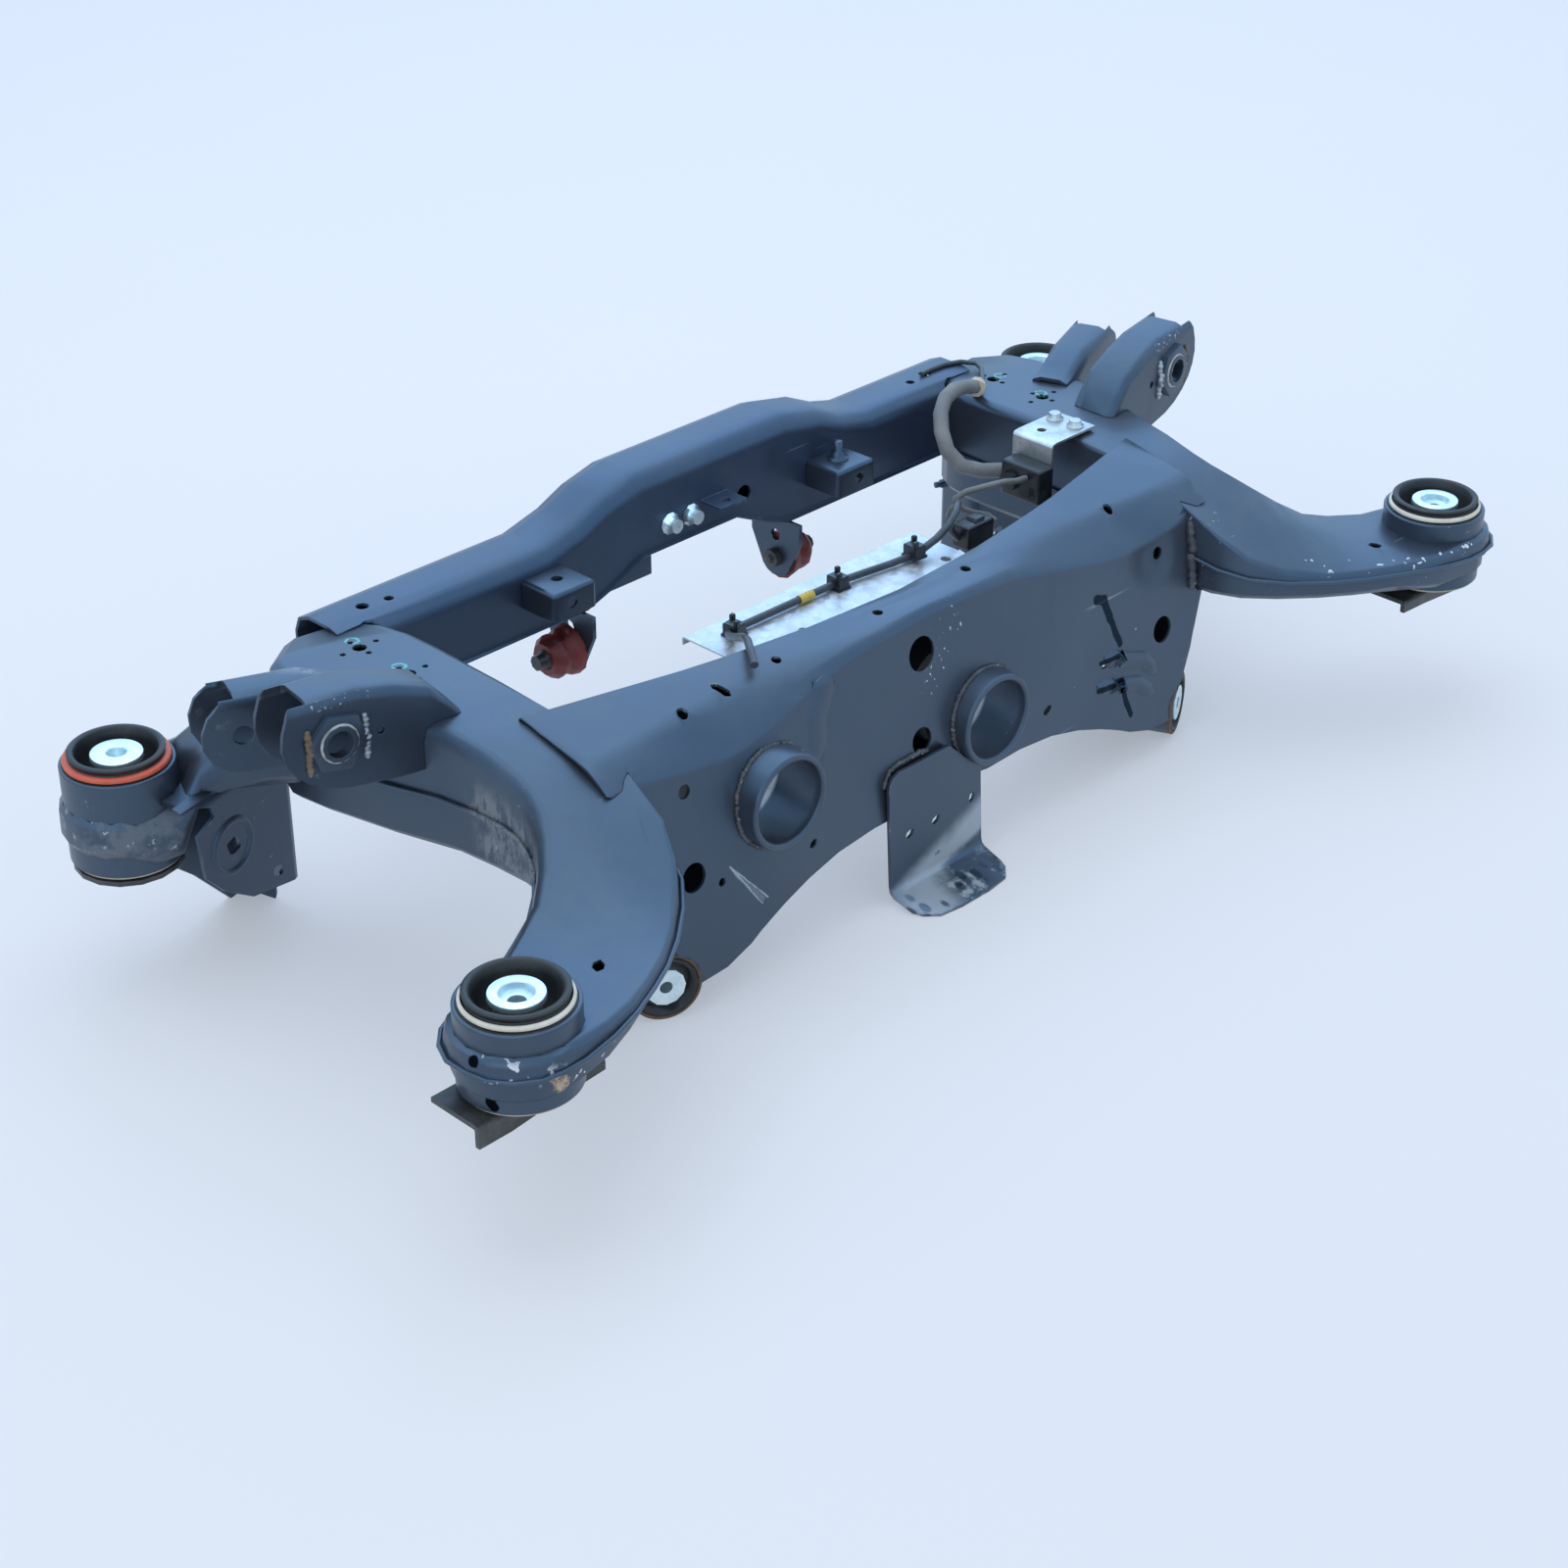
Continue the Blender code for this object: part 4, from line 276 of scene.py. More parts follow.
# Marks of one piece of sheet. Each gives the colour, the roughness, a relief in metres and the share of black.
# Lines are given by their width and their points, in the part's own datum.
faceLook = {
    "runs": (
        (0.0052, ((0.194, -0.121, -0.014), (0.203, -0.122, -0.017), (0.209, -0.124, -0.034))),
        (0.0040, ((0.209, -0.124, -0.034), (0.215, -0.126, -0.050), (0.221, -0.128, -0.061))),
        (0.0030, ((0.194, -0.130, -0.0705), (0.222, -0.131, -0.0705))),
        (0.0036, ((0.190, -0.133, -0.0935), (0.219, -0.133, -0.0945), (0.224, -0.135, -0.114),
                  (0.230, -0.137, -0.130))),
    ),
    "scratch": (
        (0.0011, ((-0.241, -0.130, -0.075), (-0.212, -0.135, -0.118))),
        (0.0010, ((-0.241, -0.130, -0.075), (-0.206, -0.135, -0.115))),
    ),
    "scratchFill": ((-0.236, -0.131, -0.082), (-0.224, -0.133, -0.098), (-0.211, -0.135, -0.114)),
    "drips": ((0.02, -0.118, 0.010), (0.12, -0.118, 0.005)),
    "chips": ((0.040, -0.115, 0.035), (0.010, -0.117, 0.025), (-0.006, -0.121, -0.010)),
    "dish": (0.268, -0.119, -0.002), "dishRadius": 0.034, "dishDepth": 0.0022,
}


def faceMarks(spot, colour, roughness):
    # dark runs of paint on the right and below the slots, faint drips, chips, and a long pale scratch at the left
    loose = wobble(spot, 0.004)
    runs = strongest([loose.along(points, width, 0.7) for width, points in faceLook["runs"]])
    colour = (runs * 0.9).between(colour, paintLook["drip"])
    scratch = wobble(spot, 0.0016, 120.0)
    pale = strongest([scratch.along(points, width, 0.4) for width, points in faceLook["scratch"]])
    inside = scratch.along(faceLook["scratchFill"], 0.0032, 0.3)
    pale = pale.most(inside * (spot.noise(1400.0, 2.0).step(0.40, 0.60) * 0.25 + 0.15))
    colour = (pale * 0.8).between(colour, (0.40, 0.45, 0.52))
    drips = spot.moved((46, 1, 5)).noise(1.0, 3.0).step(0.50, 0.70) * spot.along(faceLook["drips"], 0.045, 0.2)
    colour = (drips * 0.5).between(colour, (0.015, 0.020, 0.030))
    chips = spot.noise(260.0, 1.0).step(0.70, 0.73) * spot.along(faceLook["chips"], 0.020, 0.3)
    colour = (chips * 0.9).between(colour, paintLook["chip"])
    dish = spot.dab(faceLook["dish"], faceLook["dishRadius"], 0.25)
    return colour, roughness + pale * 0.2, dish * -faceLook["dishDepth"], runs * 0.85


railLook = {
    "rings": ((-0.3597, 0.1538), (-0.3608, 0.0967), (0.3734, 0.1425), (0.3683, 0.0898)),
    "ringRadius": 0.0048, "ringWidth": 0.0014, "green": (0.13, 0.50, 0.40),
    "rust": ((-0.535, -0.271, -0.043), (-0.533, -0.271, -0.048)),
    "chips": (
        (0.010, 0.5, ((0.381, -0.202, -0.019), (0.409, -0.228, -0.022), (0.450, -0.253, -0.023),
                      (0.500, -0.268, -0.024), (0.545, -0.267, -0.023))),
        (0.013, 0.4, ((-0.577, -0.240, -0.030), (-0.556, -0.262, -0.032), (-0.510, -0.270, -0.046),
                      (-0.490, -0.262, -0.040))),
    ),
    "fewChips": ((0.320, -0.124, 0.018), (0.345, -0.132, 0.013)),
    "rubbed": (
        (0.026, 0.2, ((-0.396, -0.040, 0.004), (-0.396, -0.075, -0.006), (-0.408, -0.105, -0.020))),
        (0.030, 0.4, ((-0.391, -0.045, -0.025), (-0.396, -0.085, -0.030))),
    ),
    "graze": ((-0.337, -0.137, 0.011), (-0.346, -0.158, -0.001)),
    "notch": ((-0.5774, -0.2353, -0.0255), (-0.5774, -0.2353, -0.0275)), "notchRadius": 0.0040,
}


def railMarks(spot, colour, roughness):
    # green inspection rings at the hole patterns, chips along both arms, wear and rust on the left one, and a notch
    # painted black as painted shade
    loose = wobble(spot, 0.003, 160.0)
    radius, width = railLook["ringRadius"], railLook["ringWidth"]
    green = strongest([loose.ring((x, y, railTop), radius, width) for x, y in railLook["rings"]])
    colour = (green * spot.noise(300.0, 2.0).step(0.34, 0.50) * 0.9).between(colour, railLook["green"])
    rust = wobble(spot, 0.010, 260.0).along(railLook["rust"], 0.0080) * spot.noise(240.0, 4.0).step(0.30, 0.40)
    rustColour = spot.noise(400.0, 2.0).step(0.4, 0.6).between((0.30, 0.17, 0.08), (0.52, 0.40, 0.27))
    colour = (rust * 0.95).between(colour, rustColour)
    chips = wobble(spot, 0.004, 200.0).noise(150.0, 1.0).step(0.655, 0.670)
    zone = strongest([spot.along(points, width, soft) for width, soft, points in railLook["chips"]])
    zone = zone.most(spot.along(railLook["fewChips"], 0.010, 0.3) * 0.6)
    colour = (chips * zone * 0.95).between(colour, (0.70, 0.74, 0.76))
    rubbed = strongest([spot.along(points, width, soft) for width, soft, points in railLook["rubbed"]])
    rubbed = rubbed * spot.moved((1, 1, 0.35)).noise(120.0, 7.0, 0.75).step(0.44, 0.56)
    colour = (rubbed * 0.8).between(colour, (0.20, 0.205, 0.21))
    graze = wobble(spot, 0.003, 90.0).along(railLook["graze"], 0.0012)
    colour = (graze * 0.5).between(colour, (0.012, 0.016, 0.022))
    # painted shade: the notch is a black spot on the sheet, not cut into it
    notch = loose.along(railLook["notch"], railLook["notchRadius"], 0.8)
    colour = (notch * 0.97).between(colour, paintLook["hole"])
    return colour, roughness + rust * 0.3 + rubbed * 0.25, None, notch


def armMarks(spot, colour, roughness):
    # the far left arm is rubbed down to a dusty grey round its stub
    dusty = spot.near((-0.575, 0.205, -0.050), (-0.540, 0.175, -0.055), 0.050, 0.25)
    patch = spot.noise(26.0, 8.0, 0.75).step(0.47, 0.60) * dusty
    colour = (patch * 0.6).between(colour, (0.16, 0.165, 0.17))
    bare = spot.noise(90.0, 4.0, 0.7).step(0.62, 0.66) * dusty
    return (bare * 0.7).between(colour, (0.50, 0.52, 0.52)), roughness + patch * 0.25, None, None


def collarMarks(spot, colour, roughness):
    # rim worn bright by the body, and a slot low on the near left collar painted black as painted shade
    high = spot.node("SeparateXYZ", None, {0: spot}, 2)
    rim = high.step(mountTop - 0.0042, mountTop - 0.0022) * spot.noise(60.0, 5.0, 0.7).step(0.46, 0.60)
    colour = (rim * 0.7).between(colour, (0.34, 0.36, 0.38))
    # painted shade of the slot: a black mark, not an opening
    slotShade = wobble(spot, 0.002, 160.0).near((-0.5701, -0.2415, -0.0600), (-0.5690, -0.2430, -0.0630), 0.0045, 0.8)
    return (slotShade * 0.97).between(colour, paintLook["hole"]), roughness, None, slotShade


bracketLook = {
    "spatter": ((0.450, 0.020, 0.096), (0.492, 0.026, 0.099)),
    "scuff": ((-0.425, 0.130, 0.067), (-0.440, 0.145, 0.067)),
    "rivet": ((0.428, 0.182, -0.131), (0.426, 0.183, -0.132)), "rivetRadius": 0.0048, "rivetDepth": 0.0006,
}


def bracketMarks(spot, colour, roughness):
    # rubbed folds, spatter beside the ears, pale scuffs on the left front web, and a flush rivet
    half = spot.folded()
    rub = spot.noise(46.0, 6.0, 0.7).step(0.60, 0.68) * spot.noise(5.0, 2.0).step(0.50, 0.60)
    colour = (rub * 0.4).between(colour, (0.22, 0.24, 0.26))
    spatter = spot.noise(340.0, 2.0).step(0.62, 0.66) * half.along(bracketLook["spatter"], 0.008, 0.4)
    colour = (spatter * 0.9).between(colour, (0.55, 0.60, 0.66))
    scuff = spot.moved((1, 1.6, 1)).noise(70.0, 7.0, 0.75).step(0.46, 0.54)
    scuff = scuff * spot.along(bracketLook["scuff"], 0.026, 0.3)
    colour = (scuff * 0.7).between(colour, (0.34, 0.37, 0.42))
    rivet = half.along(bracketLook["rivet"], bracketLook["rivetRadius"], 0.8)
    colour = (rivet * 0.6).between(colour, (0.16, 0.19, 0.22))
    return colour, roughness + rub * 0.1 + scuff * 0.2, rivet * -bracketLook["rivetDepth"], None


def footMarks(spot, colour, roughness):
    # galvanised steel shows through in a band at the bend and in patches on the foot
    side, _, high = [spot.node("SeparateXYZ", None, {0: spot}, axis) for axis in range(3)]
    bend = (high + side * -0.28 + spot.noise(30.0, 5.0) * 0.014).step(0.018, 0.026)
    band = bend * (high + side * -0.42 + spot.noise(24.0, 5.0) * 0.02).step(0.058, 0.040)
    onFoot = high.step(0.012, 0.006)
    bare = band.most(spot.noise(34.0, 5.0, 0.65).step(0.50, 0.60) * onFoot)
    colour = (bare * 0.9).between(colour, (0.36, 0.41, 0.46))
    drops = spot.node("TexVoronoi", {"feature": "F1"}, {"Vector": spot.moved((1, 0.6, 1)), "Scale": 70.0})
    wet = drops.step(0.34, 0.22) * onFoot
    return (wet * 0.8).between(colour, (0.006, 0.014, 0.026)), roughness - wet * 0.15 + bare * 0.05, None, None


def tubeMarks(spot, colour, roughness):
    # beyond its painted mouth the bore is painted near white: partly bare steel, partly a painted highlight of the
    # light inside the tube
    boreBareAndLit = spot.node("SeparateXYZ", None, {0: spot}, 1).step(midY - 0.101, midY - 0.097)
    return boreBareAndLit.between(colour, (0.85, 0.88, 0.90)), roughness, None, None


def rubberMaterial():
    material, shader, wire, spot = newMaterial("mouldedRubber")
    cloud = spot.noise(18.0, 6.0, 0.65)
    colour = cloud.step(0.35, 0.75).between((0.008, 0.008, 0.010), (0.032, 0.031, 0.030))
    dust = spot.noise(40.0, 6.0, 0.7).step(0.55, 0.80) * 0.25
    colour = dust.between(colour, (0.16, 0.14, 0.12))
    relief, _ = rounded(wire, 0.0006, spot.noise(260.0, 4.0, 0.7), 0.25, 0.0004)
    plug(shader, Base_Color=colour, Roughness=cloud.step(0.3, 0.7, 0.42, 0.62), Normal=relief)
    return material


def zincMaterial(name, tint, stain):
    material, shader, wire, spot = newMaterial(name, metallic=0.85)
    cloud = spot.noise(60.0, 6.0, 0.7)
    colour = cloud.step(0.38, 0.66).between(tint, stain)
    spotting = spot.noise(210.0, 3.0, 0.6).step(0.64, 0.72) * 0.5
    colour = spotting.between(colour, (0.30, 0.28, 0.25))
    relief, _ = rounded(wire, 0.0005, spot.noise(420.0, 3.0, 0.6), 0.12, 0.0003)
    plug(shader, Base_Color=colour, Roughness=cloud.step(0.3, 0.7, 0.28, 0.48), Normal=relief)
    return material


def sheetMaterial():
    # spangled galvanised sheet, wiped and dusty
    material, shader, wire, spot = newMaterial("galvanisedSheet", metallic=0.55)
    spangle = spot.node("TexVoronoi", {"feature": "F1"}, {"Vector": spot, "Scale": 160.0}, 1)
    tone = spangle.node("SeparateXYZ", None, {0: spangle}, 0)
    colour = tone.between((0.50, 0.56, 0.64), (0.66, 0.71, 0.78))
    dirt = spot.noise(14.0, 7.0, 0.68).step(0.48, 0.70) * 0.5
    colour = dirt.between(colour, (0.33, 0.31, 0.29))
    relief, _ = rounded(wire, 0.0005, spot.noise(90.0, 3.0), 0.10, 0.0006)
    plug(shader, Base_Color=colour, Roughness=tone.step(0.0, 1.0, 0.34, 0.50) + dirt * 0.3, Normal=relief)
    return material


def plainMaterial(name, low, high, rough, relief=0.2, scale=220.0, metallic=0.0):
    material, shader, wire, spot = newMaterial(name, metallic=metallic)
    cloud = spot.noise(34.0, 6.0, 0.66)
    colour = cloud.step(0.34, 0.72).between(low, high)
    dust = spot.noise(60.0, 6.0, 0.7).step(0.56, 0.80) * 0.3
    colour = dust.between(colour, paintLook["dust"])
    bump, _ = rounded(wire, 0.0004, spot.noise(scale, 3.0), relief, 0.0004)
    plug(shader, Base_Color=colour, Roughness=cloud.step(0.3, 0.7, rough - 0.08, rough + 0.08), Normal=bump)
    return material


def weldMaterial():
    # painted over, with brown scale and bright spatter; the bright spots are partly a painted glint
    material, shader, wire, spot = newMaterial("weldMetal")
    cloud = spot.noise(90.0, 5.0, 0.7)
    colour = cloud.step(0.40, 0.66).between((0.030, 0.034, 0.044), (0.085, 0.090, 0.105))
    colour = (spot.noise(46.0, 4.0).step(0.58, 0.72) * 0.5).between(colour, (0.16, 0.10, 0.06))
    spatterAndGlint = spot.noise(190.0, 3.0).step(0.62, 0.70)
    colour = (spatterAndGlint * 0.6).between(colour, (0.45, 0.48, 0.52))
    relief, _ = rounded(wire, 0.0004, spot.noise(240.0, 4.0, 0.7), 0.5, 0.0008)
    plug(shader, Base_Color=colour, Roughness=cloud.step(0.3, 0.7, 0.30, 0.52), Normal=relief)
    return material


print("materials")
framePaint = paintMaterial("framePaint", paintLook["frame"])
facePaint = paintMaterial("facePaint", paintLook["frame"], faceMarks)
railPaint = paintMaterial("railPaint", paintLook["frame"], railMarks)
armPaint = paintMaterial("armPaint", paintLook["frame"], armMarks, 0.30)
# the beam's bluer paint holds part of a painted sheen
beamPaintAndSheen = paintMaterial("beamPaintAndSheen", paintLook["beam"])
bracketPaint = paintMaterial("bracketPaint", paintLook["bracket"], bracketMarks)
footPaint = paintMaterial("footPaint", paintLook["frame"], footMarks)
collarPaint = paintMaterial("collarPaint", paintLook["frame"], collarMarks, 0.2)
tubePaint = paintMaterial("tubePaint", paintLook["frame"], tubeMarks)
sleevePaint = paintMaterial("sleevePaint", paintLook["frame"], None, 0.4)
rubber = rubberMaterial()
zinc = zincMaterial("zincPlate", (0.80, 0.90, 0.92), (0.60, 0.74, 0.78))
strapZinc = zincMaterial("strapZinc", (0.56, 0.58, 0.58), (0.42, 0.43, 0.42))
galvanised = sheetMaterial()
redRubber = plainMaterial("redRubber", (0.15, 0.018, 0.018), (0.26, 0.050, 0.045), 0.52)
whiteRing = plainMaterial("whiteRing", (0.62, 0.60, 0.52), (0.80, 0.80, 0.76), 0.45)
redRing = plainMaterial("redRing", (0.52, 0.075, 0.035), (0.66, 0.14, 0.080), 0.45)
creamRing = plainMaterial("creamRing", (0.40, 0.37, 0.28), (0.56, 0.53, 0.44), 0.5)
blackPlastic = plainMaterial("blackPlastic", (0.008, 0.010, 0.014), (0.022, 0.025, 0.032), 0.34)
braid = plainMaterial("braid", (0.14, 0.15, 0.16), (0.22, 0.23, 0.24), 0.62, 0.6, 700.0)
cableSkin = plainMaterial("cableSkin", (0.020, 0.026, 0.034), (0.055, 0.065, 0.080), 0.36)
coatedSteel = plainMaterial("coatedSteel", (0.030, 0.032, 0.034), (0.085, 0.088, 0.090), 0.42, 0.4, 160.0, 0.2)
yellowTape = plainMaterial("yellowTape", (0.50, 0.36, 0.05), (0.66, 0.52, 0.12), 0.5)
rustyRim = plainMaterial("rustyRim", (0.060, 0.032, 0.020), (0.14, 0.085, 0.055), 0.6, 0.5, 160.0)
brightBead = plainMaterial("brightBead", (0.22, 0.24, 0.26), (0.55, 0.58, 0.60), 0.35, 0.6, 260.0, 0.6)
brownBead = plainMaterial("brownBead", (0.075, 0.050, 0.034), (0.20, 0.15, 0.11), 0.5, 0.6, 260.0)
wornSteel = plainMaterial("wornSteel", (0.16, 0.17, 0.17), (0.66, 0.70, 0.70), 0.34, 0.6, 300.0, 0.1)
weldMetal = weldMaterial()


def finish(name, mesh, material, slotName, replaced=()):
    piece = bpy.data.objects.new(name, mesh)
    bpy.context.scene.collection.objects.link(piece)
    piece.data.materials.clear()
    piece.data.materials.append(material)
    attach(piece, "root")
    if replaced:
        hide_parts(*replaced)
    return piece


def fromBmesh(name, bm, material, slotName, sharp=50, replaced=()):
    mesh = bpy.data.meshes.new(name)
    bm.to_mesh(mesh)
    bm.free()
    mesh.shade_smooth()
    mesh.set_sharp_from_angle(angle=math.radians(sharp))
    return finish(name, mesh, material, slotName, replaced)


# The round holes of the face, bored over their faceted ones: x, z and radius
faceBores = ((-0.018, 0.015, 0.0142), (-0.026, -0.055, 0.0107), (-0.277, -0.069, 0.0117), (0.277, -0.069, 0.0117),
             (-0.276, 0.0, 0.0056), (0.276, 0.0, 0.0056))
borer = {"y": -0.122, "depth": 0.03, "sides": 40}


def bored(bm, holes):
    cutter = bmesh.new()
    for x, z, radius in holes:
        place = Matrix.Translation(at(x, borer["y"], z)) @ Matrix.Rotation(math.radians(90), 4, "X")
        bmesh.ops.create_cone(cutter, cap_ends=True, segments=borer["sides"], radius1=radius, radius2=radius,
                              depth=borer["depth"], matrix=place)
    pair = []
    for name, part in (("bored", bm), ("borer", cutter)):
        mesh = bpy.data.meshes.new(name)
        part.to_mesh(mesh)
        part.free()
        pair.append(bpy.data.objects.new(name, mesh))
        bpy.context.scene.collection.objects.link(pair[-1])
    cut = pair[0].modifiers.new("bores", "BOOLEAN")
    cut.object = pair[1]
    cut.solver = "EXACT"
    bpy.context.view_layer.update()
    made = bmesh.new()
    made.from_object(pair[0], bpy.context.evaluated_depsgraph_get())
    for piece in pair:
        bpy.data.objects.remove(piece)
    return made


# Pressings: a merged copy of each sheet part, with smooth curves, true flats and sharp cut edges
merged = {"gap": 0.00002, "flatAngle": 0.8}


def skin(nodeName, material, slotName, bores=()):
    bm = bmesh.new()
    bm.from_mesh(nodes[nodeName].data)
    bmesh.ops.remove_doubles(bm, verts=bm.verts, dist=merged["gap"])
    if bores:
        bm = bored(bm, bores)
    bmesh.ops.dissolve_limit(bm, angle_limit=math.radians(merged["flatAngle"]), verts=bm.verts, edges=bm.edges)
    piece = fromBmesh(nodeName + "_skin", bm, material, slotName, replaced=(nodeName,))
    even = piece.modifiers.new("even", "WEIGHTED_NORMAL")
    even.keep_sharp = True


def bothSides(stem):
    return [name for name in (stem + "_left", stem + "_right") if name in nodes]


print("pressings")
for stem, material, slotName in (
        ("rail_upper", railPaint, "frame_paint"), ("rail_lower", railPaint, "frame_paint"),
        ("far_arm", armPaint, "frame_paint"), ("upper_link_bracket", bracketPaint, "bracket_paint"),
        ("front_link_bracket", bracketPaint, "bracket_paint"), ("lower_link_bracket", bracketPaint, "bracket_paint"),
        ("link_sleeve", sleevePaint, "bracket_paint"), ("box_bracket", bracketPaint, "frame_paint"),
        ("hanger_plate", bracketPaint, "bracket_paint"), ("stop_plate_near", coatedSteel, "black_steel"),
        ("stop_plate_far", coatedSteel, "black_steel"), ("stop_bolt", coatedSteel, "black_steel"),
        ("flange_bolt", zinc, "zinc"), ("red_stop", redRubber, "red_rubber"), ("link_bush", rubber, "rubber"),
        ("link_insert", zinc, "zinc")):
    for nodeName in bothSides(stem):
        skin(nodeName, material, slotName)
skin("crossmember_front_pressing", facePaint, "frame_paint", faceBores)
for nodeName, material, slotName in (
        ("crossmember_back_pressing", framePaint, "frame_paint"), ("far_beam_upper", beamPaintAndSheen, "frame_paint"),
        ("far_beam_lower", beamPaintAndSheen, "frame_paint"), ("centre_bracket", footPaint, "frame_paint"),
        ("shield_plate", galvanised, "galvanised"), ("sensor_bracket", strapZinc, "zinc"),
        ("level_sensor", blackPlastic, "black_plastic"), ("connector", blackPlastic, "black_plastic"),
        ("harness_cable", cableSkin, "black_plastic"), ("sensor_lead", braid, "black_plastic"),
        ("grey_sleeve", braid, "grey_sleeve")):
    skin(nodeName, material, slotName)


# Turned pieces: profiles are pairs of radius and height, in metres
def turned(profile, segments, place):
    bm = bmesh.new()
    points = [bm.verts.new((r, 0, z)) for r, z in profile]
    edges = [bm.edges.new(pair) for pair in zip(points, points[1:] + points[:1])]
    bmesh.ops.spin(bm, geom=points + edges, cent=(0, 0, 0), axis=(0, 0, 1), angle=2 * math.pi,
                   steps=segments, use_merge=True)
    bmesh.ops.remove_doubles(bm, verts=bm.verts, dist=0.00001)
    bmesh.ops.recalc_face_normals(bm, faces=bm.faces)
    bmesh.ops.transform(bm, matrix=place, verts=bm.verts)
    return bm


def curved(cx, cz, radius, start, end, steps):
    angles = [math.radians(start + (end - start) * k / steps) for k in range(steps + 1)]
    return [(cx + radius * math.cos(a), cz + radius * math.sin(a)) for a in angles]


mount = {
    "insertRadius": 0.0200, "boreRadius": 0.0065, "sinkRadius": 0.0120, "neckRadius": 0.0165, "segments": 72,
    "valleyRadius": 0.0300, "lipTop": 0.0042, "ringRadius": 0.0388, "wall": 0.0028, "round": 0.0013, "gap": 0.0003,
}


def bodyMount(name, ringMaterial, plainTop):
    m = mount
    low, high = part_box("mount_insert_" + name)
    place = Matrix.Translation(Vector(((low.x + high.x) / 2, (low.y + high.y) / 2, high.z)))
    foot = low.z - high.z
    collarLow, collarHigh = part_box("mount_collar_" + name)
    bottom = collarLow.z - high.z
    top = collarHigh.z - high.z
    sink = m["boreRadius"] + 0.001 if plainTop else m["sinkRadius"]
    profile = curved(m["insertRadius"] - 0.001, -0.001, 0.001, 90, 0, 3)
    profile += [(m["insertRadius"], -0.0044), (m["neckRadius"], -0.0050), (m["neckRadius"], foot),
                (m["boreRadius"], foot), (m["boreRadius"], -0.0072), (sink - 0.0006, -0.0064), (sink, -0.0008),
                (sink + 0.0008, 0.0)]
    insert = turned(profile, m["segments"], place)
    fromBmesh("insert_" + name, insert, zinc, "zinc", 30, ("mount_insert_" + name,))

    collar = collarHigh.x - (low.x + high.x) / 2
    wall = collar - m["wall"]
    profile = [(collar, bottom), (collar, top - 0.0012)]
    profile += curved(collar - m["round"], top - m["round"], m["round"], 0, 90, 3)
    profile += [(wall, top), (wall, bottom)]
    shell = turned(profile, m["segments"], place)
    fromBmesh("collar_" + name, shell, collarPaint, "frame_paint", 40, ("mount_collar_" + name,))

    inside = wall - m["gap"]
    core = m["neckRadius"] + m["gap"]
    valley = m["valleyRadius"]
    profile = [(inside, bottom), (inside, top + 0.0002), (m["ringRadius"] - 0.001, top + 0.0006),
               (m["ringRadius"] - 0.0035, -0.0006)]
    profile += curved(valley + 0.0042, m["lipTop"] - 0.0034, 0.0034, 40, 150, 5)
    profile += [(valley, -0.004), (valley - 0.002, -0.016), (valley - 0.007, -0.0205), (core + 0.002, -0.0190),
                (core, -0.0150), (core, bottom - 0.0038), (core + 0.012, bottom - 0.0040),
                (inside - 0.004, bottom - 0.0034)]
    moulding = turned(profile, m["segments"], place)
    fromBmesh("rubber_" + name, moulding, rubber, "rubber", 40, ("mount_rubber_" + name,))

    if ringMaterial:
        outer = m["ringRadius"] + (0.0016 if plainTop else 0.0004)
        inner = outer - (0.0046 if plainTop else 0.0020)
        profile = [(outer - 0.0016, top + 0.0007), (outer, top + 0.0012), (outer + 0.0002, top + 0.0030),
                   (outer - 0.0006, top + 0.0044), (inner, top + 0.0046), (inner - 0.0004, top + 0.0020)]
        fromBmesh("ring_" + name, turned(profile, m["segments"], place), ringMaterial, "rubber", 60)
    profile = [(inside - 0.0005, bottom - 0.0004), (inside + 0.0012, bottom - 0.0006),
               (inside + 0.0012, bottom - 0.0022), (inside - 0.0015, bottom - 0.0026)]
    fromBmesh("low_ring_" + name, turned(profile, m["segments"], place), creamRing, "rubber", 60)


print("body mounts")
bodyMount("near_left", whiteRing, False)
bodyMount("near_right", whiteRing, False)
bodyMount("far_left", redRing, True)
bodyMount("far_right", None, False)


# Weld beads: each lies on the sheet along a seam, with the ripples of the run
def carrierTree(names):
    bm = bmesh.new()
    for nodeName in names:
        bm.from_mesh(nodes[nodeName].data)
    tree = BVHTree.FromBMesh(bm)
    bm.free()
    return tree


bead = {"step": 0.45, "reach": 0.012, "level": 0.86, "swell": 0.14, "ripple": 1.9, "spread": 0.07, "stray": 0.0003,
        "sink": 0.35, "endSwell": 0.45, "endStep": 0.25}


def weldRun(curve, tree, points, radius, sink):
    runs = []
    for start, end in zip(points, points[1:]):
        count = max(2, round((end - start).length / (radius * bead["step"])))
        runs += [start.lerp(end, k / count) for k in range(count)]
    runs.append(points[-1])
    placed = []
    for point in runs:
        spot, normal, _, far = tree.find_nearest(point)
        if spot is not None and far < bead["reach"]:
            placed.append(spot + normal * radius * sink)
    spline = curve.splines.new("POLY")
    spline.points.add(len(placed) - 1)
    for index, (knot, place) in enumerate(zip(spline.points, placed)):
        fromEnd = min(index, len(placed) - 1 - index)
        swell = bead["level"] + bead["swell"] * math.sin(index * bead["ripple"])
        swell += chance.uniform(-bead["spread"], bead["spread"])
        stray = Vector([chance.uniform(-bead["stray"], bead["stray"]) for _ in range(3)])
        knot.co = (*(place + stray), 1.0)
        knot.radius = swell * min(1.0, bead["endSwell"] + fromEnd * bead["endStep"])


def weldCurve(name, names, runs, radius, metal=None, sink=bead["sink"]):
    tree = carrierTree(names)
    curve = newCurve(name, radius)
    for points in runs:
        weldRun(curve, tree, points, radius, sink)
    lay(curve, metal or weldMetal, "frame_paint")


def newCurve(name, radius):
    curve = bpy.data.curves.new(name, "CURVE")
    curve.dimensions = "3D"
    curve.bevel_depth = radius
    curve.bevel_resolution = 3
    curve.use_fill_caps = True
    return curve


